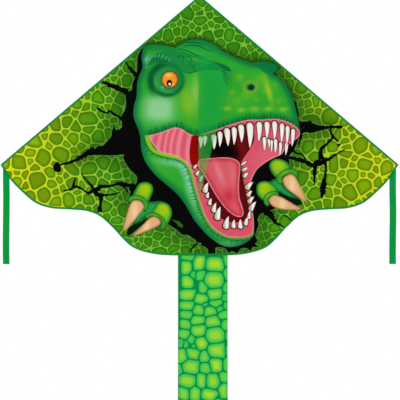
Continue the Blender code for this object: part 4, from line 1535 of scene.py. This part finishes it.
def make_edges(finish):
    """Hems round the sail, and the sleeves that hold the leading-edge rods."""
    hem_line = [
        (0.0056, -0.00044), (0.0030, -0.00050), (0.0008, -0.00048), (0.0001, -0.00030), (-0.0001, 0.0),
        (0.0001, 0.00030), (0.0008, 0.00048), (0.0024, 0.00050), (0.0040, 0.00044),
    ]
    tube = [
        (0.0006, 0.00086), (0.0011, 0.0012), (0.0014, 0.0024),
        *ring((ROD_INSET, ROD_Y), 0.0027, 192, -12),
        (0.0072, 0.0024), (0.0076, 0.0014), (0.0084, 0.00100), (0.0100, 0.00088), (0.0130, 0.00084),
    ]
    hem, sleeve = ribbon_of(hem_line, HEM_CLOTH), ribbon_of(tube, SLEEVE_CLOTH)
    made = {}
    for side, sign in SIDES:
        stations = [edge_station(e, 2.0, sign) for e in spread(0.0012, 0.7850, HEM_STEP)]
        leading = strip(side + "_leading_hem", stations, hem, finish["edge"], HEM_CREASE)
        bend_with_wing(leading, side)
        parts = [leading]
        for level, start, end in (
            ("upper", 0.040, TEE_AT - TEE_WINDOW), ("lower", TEE_AT + TEE_WINDOW, 0.748),
        ):
            stations = [edge_station(e, 5.0, sign) for e in spread(start, end, SLEEVE_STEP)]
            name = f"{side}_leading_sleeve_{level}"
            tunnel = strip("sewn_" + name, stations, sleeve, finish["edge"], TUNNEL_CREASE)
            settle(tunnel, side + "_wing", "edge_cloth", name)
            parts.append(tunnel)
        stations = trailing_stations(sign)
        trailing = strip(side + "_turned_hem", stations, hem, finish["edge"], HEM_CREASE)
        bend_with_wing(trailing, side)
        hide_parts(side + "_trailing_hem")
        made[side] = parts + [trailing]
    return made


def trailing_places(sign, inset, first=0):
    """Points along the trailing edge, from the wing tip to the middle, at an inset from the edge."""
    line = smooth(TRAILING_EDGE, False, 3.0) * MM
    ahead = np.gradient(line, axis=0)
    ahead /= np.linalg.norm(ahead, axis=1)[:, None]
    inward = np.stack([-ahead[:, 1], ahead[:, 0]], 1)
    inward *= np.sign(inward[len(inward) // 2, 1])
    at = line + inward * inset
    return np.stack([at[:, 0] * sign, at[:, 1]], 1)[first:], inward[first:]


def trailing_stations(sign):
    line, inward = trailing_places(1, 0.0)
    deep = sag(sign * line[:, 0], line[:, 1])

    def station(i):
        def place(u, v):
            p = line[i] + inward[i] * u
            return Vector((sign * p[0], v + deep[i] + 0.00008 * pucker(i * 0.003, 3.0), p[1]))

        return place

    return [station(i) for i in range(1, len(line))]


# ---------------------------------------------------------------- the spine's sewn parts
SPINE_SLEEVES = (("upper", -0.0443, -0.282), ("lower", -0.318, -0.7417))
SPINE_POCKETS = (("nose_pocket", 0.008, 0.044, True), ("spine_end_pocket", 0.742, 0.780, False))
POCKET_RISE = 0.0058


def upright_station(z, seed):
    def place(u, v):
        gather = 0.00010 * pucker(-z, seed) * min(1.0, abs(u) / 0.005)
        return Vector((u, v + gather, z))

    return place


def make_spine_sleeves(finish):
    line = [
        (-HALF_STRIP, 0.00086), (-0.0048, 0.00092), (-0.0036, 0.0014), (-0.0030, 0.0026),
        *ring((0.0, ROD_Y), 0.0027, 190, -10),
        (0.0030, 0.0026), (0.0036, 0.0014), (0.0048, 0.00092), (HALF_STRIP, 0.00086),
    ]
    loop = ribbon_of(line, SLEEVE_CLOTH)
    for level, top, low in SPINE_SLEEVES:
        stations = [upright_station(z, 1.0) for z in spread(top, low, SLEEVE_STEP)]
        name = "spine_sleeve_" + level
        made = strip("sewn_" + name, stations, loop, finish["spine"], TUNNEL_CREASE)
        settle(made, "spine", "spine_cloth", name)


def pocket_loop(half, bulge):
    """Across a pocket: flat against the sail, swelling over the rod by bulge from 0 to 1."""
    low, crown = 0.00074, 0.0021 + POCKET_RISE * bulge
    wide = 0.0031 + 0.0008 * bulge
    over = [
        (half, low + 0.0011), (half - 0.0012, low + 0.0014), (wide, 0.0020 + 0.30 * POCKET_RISE * bulge),
        (wide * 0.72, crown - 0.0004), (wide * 0.3, crown),
    ]
    return [(-half, low), (half, low), *over, *((-u, v) for u, v in reversed(over))]


def pocket(name, node, body, station_at, half, start, end, closed_first, finish):
    """Webbing folded over a rod's end. station_at(s) gives the place of the cross-section at s."""
    stations, loops = [], []
    for s in spread(start, end, 0.0014):
        along = (s - start) / (end - start)
        if not closed_first:
            along = 1 - along
        bulge = float(soft((along - 0.04) / 0.30))
        tight = 1.0 - 0.10 * float(1 - soft(along / 0.12))
        stations.append(station_at(s))
        loops.append([(u * tight, v) for u, v in pocket_loop(half, bulge)])
    made = solid(name, [swept(stations, loops)], finish["webbing"], CREASE)
    settle(made, body, "webbing", node)


def make_pockets(finish):
    def upright(s):
        return lambda u, v: Vector((u, v, -s))

    for node, start, end, closed_first in SPINE_POCKETS:
        pocket("folded_" + node, node, "spine", upright, HALF_STRIP, start, end, closed_first, finish)
    for side, sign in SIDES:
        def beside_edge(s, sign=sign):
            at = ALONG * s + INWARD * ROD_INSET

            def place(u, v):
                p = at + INWARD * u
                return Vector((sign * p.x, v - 0.0001, p.z))

            return place

        name = side + "_tip_pocket"
        pocket("folded_" + name, name, side + "_wing", beside_edge, 0.0043, 0.7484, 0.7864, False, finish)


# ---------------------------------------------------------------- moulded fittings
ROD_HOLE = ROD_RADIUS + 0.00002


def on_rod(e):
    """A place on the middle line of the right leading-edge rod."""
    return ALONG * e + INWARD * ROD_INSET + Vector((0, ROD_Y, 0))


def barrel_loop(length, hole, radius, ribs=0, lip=0.0003):
    """A tube's wall as a closed loop: the hole, rounded ends, and raised ribs near both ends."""
    line = [(0.0, hole), (0.0, radius - 0.0005), (0.0002, radius - 0.0001), (0.0006, radius)]
    for end in (0, 1):
        starts = [0.0016 + 0.0019 * i for i in range(ribs)]
        if end:
            starts = [length - s - 0.0009 for s in reversed(starts)]
        for s in starts:
            line += [(s, radius), (s + 0.0002, radius + lip)]
            line += [(s + 0.0007, radius + lip), (s + 0.0009, radius)]
    line += [(length - 0.0006, radius), (length - 0.0002, radius - 0.0001)]
    return line + [(length, radius - 0.0005), (length, hole)]


def make_connectors(finish):
    for side, sign in SIDES:
        middle = on_rod(TEE_AT)
        parts = [turned(middle - ALONG * 0.012, ALONG, barrel_loop(0.024, ROD_HOLE, 0.0034, 2))]
        arm = barrel_loop(0.0315, ROD_HOLE, 0.0034, 3)
        parts.append(turned(middle + Vector((-0.0025, 0, 0)), (-1, 0, 0), arm))
        collar = [(0.0018, 0.0012), (0.0018, 0.0046), (0.0034, 0.0042), (0.0052, 0.0036), (0.0058, 0.0012)]
        parts.append(turned(middle, (-1, 0, 0), collar))
        made = solid(side + "_moulded_tee", sided(side, parts), finish["plastic"])
        settle(made, side + "_wing", "moulded_plastic", side + "_connector")


def make_vinyl(finish):
    """The soft cross tube in two halves, and the caps on the rods' ends."""
    tube = [
        (0.0, ROD_HOLE), (0.0, 0.0039), (0.0060, 0.0039), (0.0076, 0.0035), (0.0084, 0.0034),
        (0.0092, 0.0035), (0.0100, 0.0034), (0.0340, 0.0034), (0.0345, 0.0036), (0.0372, 0.0036),
        (0.0379, 0.0034), (0.0380, 0.0030), (0.0380, ROD_HOLE),
    ]
    fine = []
    for (d, r), (e, s) in zip(tube, tube[1:]):
        steps = max(1, int((e - d) / 0.0008))
        fine += [(d + (e - d) * i / steps, r + (s - r) * i / steps) for i in range(steps)]
    fine.append(tube[-1])
    cap = [
        (0.0, 0.0), (0.0, 0.0014), (0.0003, 0.0022), (0.0009, 0.0027), (0.0018, 0.0029), (0.0165, 0.0029),
        (0.0170, 0.0031), (0.0176, 0.0031), (0.0180, 0.0028), (0.0180, 0.0),
    ]
    boss = [
        (0.0, ROD_HOLE), (0.0, 0.0036), (0.0004, 0.0040), (0.0126, 0.0040), (0.0130, 0.0036),
        (0.0130, ROD_HOLE),
    ]
    for side, _ in SIDES:
        half = turned((0, ROD_Y, SPREADER_Z), (1, 0, 0), fine)
        made = solid(side + "_cross_tube_half", sided(side, [half]), finish["vinyl"])
        bend_with_wing(made, side)
        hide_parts("cross_tube")
        end = turned(on_rod(0.7742), -ALONG, cap)
        made = solid(side + "_dipped_cap", sided(side, [end]), finish["vinyl"])
        settle(made, side + "_wing", "vinyl", side + "_tip_cap")
    round_spine = turned((0, ROD_Y, SPREADER_Z - 0.0065), (0, 0, 1), boss)
    settle(solid("cross_tube_boss", [round_spine], finish["vinyl"]), "spine", "vinyl")
    longer = turned((0, ROD_Y, -0.7775), (0, 0, 1), [(d * 1.19, r) for d, r in cap])
    settle(solid("spine_dipped_cap", [longer], finish["vinyl"]), "spine", "vinyl", "spine_end_cap")


# ---------------------------------------------------------------- keel, tail and ribbons
KEEL_OUTLINE = [(1.2, -175), (91, -235), (94.2, -236.8), (94.5, -241), (1.2, -605)]
EYELET = (0.0845, -0.2415)


def keel_depth(x, z):
    """The keel lies close to the sail, and lifts a little towards its free corner."""
    rise = soft((x - 0.006) / 0.075)
    return -0.0024 - 0.0010 * rise * (1 + 0.5 * np.sin(z * 40)) + 0.0004 * rise * np.sin(z * 95 + x * 60)


def seam_depth(x, z):
    return np.full(len(x), -0.00095)


def make_keel(finish):
    fin = cloth_piece("thin_keel", KEEL_OUTLINE, 4.5, 0.0002, keel_depth, finish["keel"])
    settle(fin, "keel", "keel_cloth", "keel_fin")
    patch = [(62, -217.2), (90.4, -236.2), (93.4, -238.2), (93.4, -241.4), (84.5, -275.5), (76, -262)]
    for side, sign in SIDES:
        def beside(x, z, shift=sign * 0.00024):
            return keel_depth(x, z) + shift

        made = cloth_piece(side + "_corner_patch", patch, 3.0, 0.00018, beside, finish["keel_patch"])
        settle(made, "keel", "keel_cloth", "keel_patch_" + side)
    seam = [(-3.0, -175.5), (1.3, -176.5), (1.3, -604), (-3.0, -602)]
    made = cloth_piece("keel_seam_allowance", seam, 3.0, 0.00016, seam_depth, finish["seam"])
    settle(made, "spine", "edge_cloth", "keel_seam_tape")
    middle = float(keel_depth(np.array([EYELET[0]]), np.array([EYELET[1]]))[0])
    rolled = [
        (0.0, 0.0031), (0.0004, 0.0031), (0.0009, 0.0033), (0.00115, 0.0038), (0.00105, 0.0045),
        (0.0007, 0.0050), (0.0003, 0.0052), (0.0002, 0.0050), (0.0003, 0.0040), (0.0, 0.0036),
    ]
    for name, node, turn in (
        ("rolled_eyelet", "tow_eyelet", -1), ("eyelet_back_ring", "tow_eyelet_washer", 1),
    ):
        wall = turned((EYELET[0], middle, EYELET[1]), (0, turn, 0), rolled, 32)
        made = solid(name, [wall], finish["metal"])
        settle(made, "keel", "eyelet_metal", node)


TAIL_MIDDLE = 8.0  # of the tail's print, in millimetres
TAIL_RIGHT = 1000 * (tail_low.x + tail_high.x) / 2 - TAIL_MIDDLE


def tail_depth(x, z):
    """Slow waves that grow towards the tail's free end, with the edges curling a little."""
    down = np.clip((-0.7862 - z) / 0.999, 0, 1)
    wave = np.sin(down * 9.2 + 0.4) * 0.0050 + np.sin(down * 21.0 + x * 16) * 0.0016
    curl = ((x - 0.010) / 0.075) ** 2 * 0.0012 * np.sin(down * 12)
    return 0.0011 + soft(down / 0.16) * (wave + curl)


# The tail's scales, in millimetres: x, z below the sail, width, height. The pattern repeats, turned over.
TAIL_SCALES = [
    (-36, -4, 34, 16), (-1, -22, 31, 41), (42, -26, 47, 37), (79, -14, 14, 34), (-41, -37, 25, 34),
    (-21, -57, 13, 22), (1, -58, 23, 26), (39, -73, 51, 45), (79, -54, 14, 34), (-38, -79, 29, 36),
    (9, -96, 20, 30), (43, -115, 36, 28), (78, -96, 15, 30), (-38, -118, 39, 32), (4, -130, 38, 25),
    (47, -144, 32, 18), (77, -126, 15, 22), (-39, -150, 37, 25), (13, -148, 22, 8), (-5, -164, 29, 25),
    (31, -168, 31, 23), (59, -161, 17, 12), (76, -150, 9, 22), (-41, -179, 31, 23), (-8, -195, 37, 25),
    (38, -198, 37, 31), (71, -179, 31, 23), (-45, -207, 26, 28), (-4, -226, 37, 34), (45, -238, 51, 43),
    (76, -211, 18, 34), (-48, -236, 26, 28), (-27, -252, 18, 23), (3, -264, 32, 38), (50, -286, 49, 37),
    (-58, -263, 12, 25), (-42, -266, 11, 25), (-19, -273, 12, 12), (13, -303, 23, 34), (48, -329, 32, 35),
    (78, -328, 15, 34), (-21, -293, 32, 31), (-54, -301, 23, 37), (-28, -334, 41, 35), (15, -337, 26, 28),
    (-61, -343, 11, 28), (-38, -377, 43, 34), (3, -377, 25, 37), (38, -379, 32, 38), (72, -365, 22, 26),
    (-49, -415, 26, 31), (-15, -415, 28, 34), (29, -420, 46, 35), (69, -406, 23, 37), (80, -240, 8, 30),
    (80, -285, 8, 30),
]
TAIL_REPEAT = 436.0


def tail_mortar(x):
    return 4.0


def tail_shapes():
    seeds = []
    for turn in range(3):
        for x, z, wide, high in TAIL_SCALES:
            across = x if turn != 1 else 2 * TAIL_MIDDLE - x
            seeds.append((across + TAIL_RIGHT, z - 785 - turn * TAIL_REPEAT, wide * 1.1, high * 1.1))
    seeds = np.array([s for s in seeds if s[1] > -1800])
    rng = random.Random(5)
    return [(cell, tail_scale_paint(cell, rng.random())) for cell in pebbles(seeds, tail_mortar, 0.56)]


def tail_scale_paint(cell, luck):
    """Lime in the middle of a big scale, plain green on a small one."""

    def paint(p):
        wide, high = np.ptp(cell[:, 0]), np.ptp(cell[:, 1])
        size = math.sqrt(wide * high)
        rim = distance(p, cell)
        c = ground(p, 62, 206, 92)
        bright = soft(rim / (0.33 * size)) * float(soft((size - 18) / 23))
        return lay(c, rgb(184, 232, 46), bright * (0.75 + 0.25 * luck))

    return paint


def make_tail(front, back):
    left, right = TAIL_MIDDLE - 75 + TAIL_RIGHT, TAIL_MIDDLE + 75 + TAIL_RIGHT
    line = np.array([(left, -783.4), (right, -783.4), (right, -1785.2), (left, -1785.2)])
    box = (left + 0.4, right - 0.4, -1784.8, -784.2)
    shapes = [(clipped_to(cell, *box), paint) for cell, paint in tail_shapes()]
    shapes = [(cell, paint) for cell, paint in shapes if len(cell) > 2]
    flat, faces = triangulate(line, shapes, [], 5.0)
    colours = painted(flat, faces, plain(0, 150, 68), shapes)
    made = printed_piece("printed_tail", flat, faces, colours, tail_depth, front, back)
    settle(made, "tail", "tail_cloth", "centre_tail")


def clipped_to(cell, left, right, low, high):
    """A convex cell cut back to an upright box."""
    points = [np.array(p) for p in cell]
    origin = (0.0, 0.0)
    for normal, limit in (((1, 0), right), ((-1, 0), -left), ((0, 1), high), ((0, -1), -low)):
        if len(points) > 2:
            points = clip_half(points, origin, np.array(normal, float), limit)
    return np.array(points)


RIBBON_X, RIBBON_HALF = 0.583, 0.010


def make_ribbons(finish):
    for side, sign in SIDES:
        middle = sign * RIBBON_X

        def depth(x, z, sign=sign, middle=middle):
            down = np.clip((-0.524 - z) / 0.286, 0, 1)
            wave = 0.0038 * np.sin(down * 7.5 + sign) * soft(down / 0.3)
            curl = 0.0007 * ((x - middle) / RIBBON_HALF) ** 2 * np.sin(down * 11)
            return 0.0018 + wave + curl * soft(down / 0.2)

        left, right = (middle - RIBBON_HALF) / MM, (middle + RIBBON_HALF) / MM
        outline = [(left, -520), (right, -520), (right, -810), (left, -810)]
        made = cloth_piece(side + "_streamer_ribbon", outline, 3.0, 0.0003, depth, finish["ribbon"])
        settle(made, side + "_streamer", "ribbon_cloth", side + "_ribbon")


def patch_depth(x, z):
    """The patch lies on the back of the sail, with a slight unevenness."""
    return 0.00070 + sag(x, z) + 0.00006 * np.sin(x * 900) * np.sin(z * 800)


def make_tip_patches(finish):
    made = {}
    for side, sign in SIDES:
        corners = ((0.705, 0.0136), (0.7483, 0.0136), (0.749, 0.0086), (0.7765, 0.0086))
        near = [ALONG * e + INWARD * k for e, k in corners]
        outline = [(sign * p.x / MM, p.z / MM) for p in near] + [(sign * 580, -523), (sign * 556, -554)]
        name = side + "_corner_reinforcement"
        patch = cloth_piece(name, outline, 3.0, 0.00025, patch_depth, finish["patch"])
        settle(patch, side + "_wing", "webbing", side + "_tip_patch")
        made[side] = patch
    return made


# ---------------------------------------------------------------- rows of stitches
HEM_SEAM = 0.0026  # in from the edge
HEM_FACE = 0.00066  # from the sail's middle surface to the hem's faces


def on_edge(start, end, inset, deep, sign, step=0.006):
    points = []
    for e in spread(start, end, step):
        p = ALONG * e + INWARD * inset
        points.append(Vector((sign * p.x, deep + float(sag(sign * p.x, p.z)), p.z)))
    return points


def on_trailing(inset, deep, sign, first):
    line, _ = trailing_places(sign, inset, first)
    y = sag(line[:, 0], line[:, 1]) + deep
    return [Vector((x, d, z)) for (x, z), d in zip(line, y)]


def upright_row(x, top, low, deep, step=0.006):
    return [Vector((x, deep, z)) for z in spread(top, low, step)]


def wing_rows(sign):
    rows = [on_edge(0.0140, 0.7830, HEM_SEAM, -HEM_FACE, sign)]
    for start, end in ((0.041, TEE_AT - TEE_WINDOW - 0.001), (TEE_AT + TEE_WINDOW + 0.001, 0.747)):
        rows.append(on_edge(start, end, 0.0114, 0.00108, sign))
    rows += [on_trailing(HEM_SEAM, deep, sign, 2)[:-4] for deep in (-HEM_FACE, HEM_FACE)]
    across_pocket = [ALONG * 0.7500 + INWARD * k for k in (0.0010, 0.0076)]
    return rows + [[Vector((sign * p.x, 0.0024, p.z)) for p in across_pocket]]


def spine_rows():
    sleeves, pockets = ((-0.046, -0.281), (-0.319, -0.740)), ((-0.011, -0.041), (-0.745, -0.777))
    rows = [upright_row(x, top, low, 0.00110) for x in (-0.0056, 0.0056) for top, low in sleeves]
    rows += [upright_row(x, top, low, 0.00240) for top, low in pockets for x in (-0.0052, 0.0052)]
    return rows + [upright_row(0.0034, -0.180, -0.590, -0.00112)]


def tail_rows():
    across = spread(-0.063, 0.083, 0.004)
    down = (-0.7880, -0.7916, -1.7822)
    return [[Vector((x, float(tail_depth(x, z)) - 0.0004, z)) for x in across] for z in down]


def keel_rows():
    corner = [
        (0.0665, -0.2215), (0.0885, -0.2365), (0.0915, -0.2392), (0.0913, -0.2415), (0.0838, -0.2715),
        (0.0775, -0.2610), (0.0665, -0.2215),
    ]
    return [[Vector((x, float(keel_depth(x, z)) - 0.00042, z)) for x, z in corner]]


def ribbon_rows(sign):
    across = spread(sign * 0.575, sign * 0.591, 0.004)
    return [[Vector((x, 0.00215, z)) for x in across] for z in (-0.5225, -0.5270)]


def stitch_everything():
    for side, sign in SIDES:
        settle(stitched(side + "_wing_stitches", wing_rows(sign), 3), side + "_wing", "edge_cloth")
    settle(stitched("spine_stitches", spine_rows(), 5), "spine", "spine_cloth")
    settle(stitched("tail_stitches", tail_rows(), 7), "tail", "tail_cloth")
    made = stitched("keel_stitches", keel_rows(), 9)
    made.data.materials.clear()
    made.data.materials.append(finish["keel"])
    settle(made, "keel", "keel_cloth")
    for side, sign in SIDES:
        settle(stitched(side + "_ribbon_stitches", ribbon_rows(sign), 11), side + "_streamer", "ribbon_cloth")


# ---------------------------------------------------------------- stage
LENS, SENSOR = 100, 36
FRAME_WIDTH = 1.206  # metres across the picture, at the sail
FLOOR_Z, FLOOR_RADIUS = -1.85, 2.6


def placed(name, data, location, rotation):
    """A lamp or a camera in the scene."""
    made = bpy.data.objects.new(name, data)
    made.location, made.rotation_euler = location, rotation
    bpy.context.scene.collection.objects.link(made)
    return made


def make_world():
    """Soft light from all round, under a background that the camera sees as white."""
    world = bpy.data.worlds.new("studio")
    bpy.context.scene.world = world
    world.use_nodes = True
    tree = world.node_tree
    seen, lit = tree.nodes["Background"], tree.nodes.new("ShaderNodeBackground")
    seen.inputs["Color"].default_value = lit.inputs["Color"].default_value = (1, 1, 1, 1)
    lit.inputs["Strength"].default_value = 0.86
    ray, pick = tree.nodes.new("ShaderNodeLightPath"), tree.nodes.new("ShaderNodeMixShader")
    tree.links.new(ray.outputs["Is Camera Ray"], pick.inputs[0])
    tree.links.new(lit.outputs[0], pick.inputs[1])
    tree.links.new(seen.outputs[0], pick.inputs[2])
    tree.links.new(pick.outputs[0], tree.nodes["World Output"].inputs[0])
    bpy.context.scene.view_settings.view_transform = "Standard"


def make_stage():
    make_world()
    lamp = bpy.data.lights.new("soft_key", "AREA")
    lamp.size, lamp.energy = 2.5, 34
    place = Vector((-2.2, -3.0, 1.4))
    placed("soft_key", lamp, place, (Vector((0, 0, -0.5)) - place).to_track_quat("-Z", "Y").to_euler())
    camera = bpy.data.cameras.new("camera")
    camera.lens, camera.sensor_width = LENS, SENSOR
    away = (0.0015, -FRAME_WIDTH * LENS / SENSOR, -0.6166)
    bpy.context.scene.camera = placed("camera", camera, away, (math.radians(90), 0, 0))
    turns = [2 * math.pi * i / 64 for i in range(64)]
    disc = [(FLOOR_RADIUS * math.cos(t), FLOOR_RADIUS * math.sin(t), FLOOR_Z) for t in turns]
    paint = Finish("floor_paint", roughness=0.9)
    paint.feed({"Base Color": ink(238, 238, 236)})
    keep("floor", disc, [range(64)], paint.material, False)


# ---------------------------------------------------------------- everything together
finish = {
    "print": printed_cloth("printed_cloth", 0.0),
    "print_back": printed_cloth("printed_cloth_back", 0.30),
    "edge": dyed_cloth("edge_cloth", (4, 140, 58)),
    "spine": dyed_cloth("spine_cloth", (14, 112, 56)),
    "webbing": dyed_webbing("webbing", (10, 84, 44)),
    "patch": dyed_webbing("patch_cloth", (12, 96, 50)),
    "keel": dyed_cloth("keel_cloth", (14, 204, 86), alpha=0.18),
    "seam": dyed_cloth("keel_seam_cloth", (14, 204, 86), alpha=0.15),
    "keel_patch": dyed_cloth("keel_patch_cloth", (14, 190, 80), alpha=0.03),
    "ribbon": dyed_cloth("ribbon_cloth", (0, 152, 64)),
    "rod": glass_fibre("glass_fibre"),
    "vinyl": soft_vinyl("vinyl"),
    "plastic": moulded("moulded_plastic"),
    "metal": eyelet_metal("eyelet_metal"),
    "thread": thread("sewing_thread"),
}
HANG = hang_of_the_sail()
STITCHES = stitch_tree(finish["thread"])

make_stage()
halves = make_sail(finish["print"], finish["print_back"])
edges = make_edges(finish)
patches = make_tip_patches(finish)
outline = sail_outline() * MM
for side, half in halves.items():
    sewn = edges[side] + [patches[side]]
make_spine_sleeves(finish)
make_pockets(finish)
make_connectors(finish)
make_vinyl(finish)
make_keel(finish)
make_tail(finish["print"], finish["print_back"])
make_ribbons(finish)
stitch_everything()
for name in ("spine_rod", "left_leading_rod", "right_leading_rod", "left_spreader", "right_spreader"):
    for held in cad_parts[name].material_slots:
        held.material = finish["rod"]
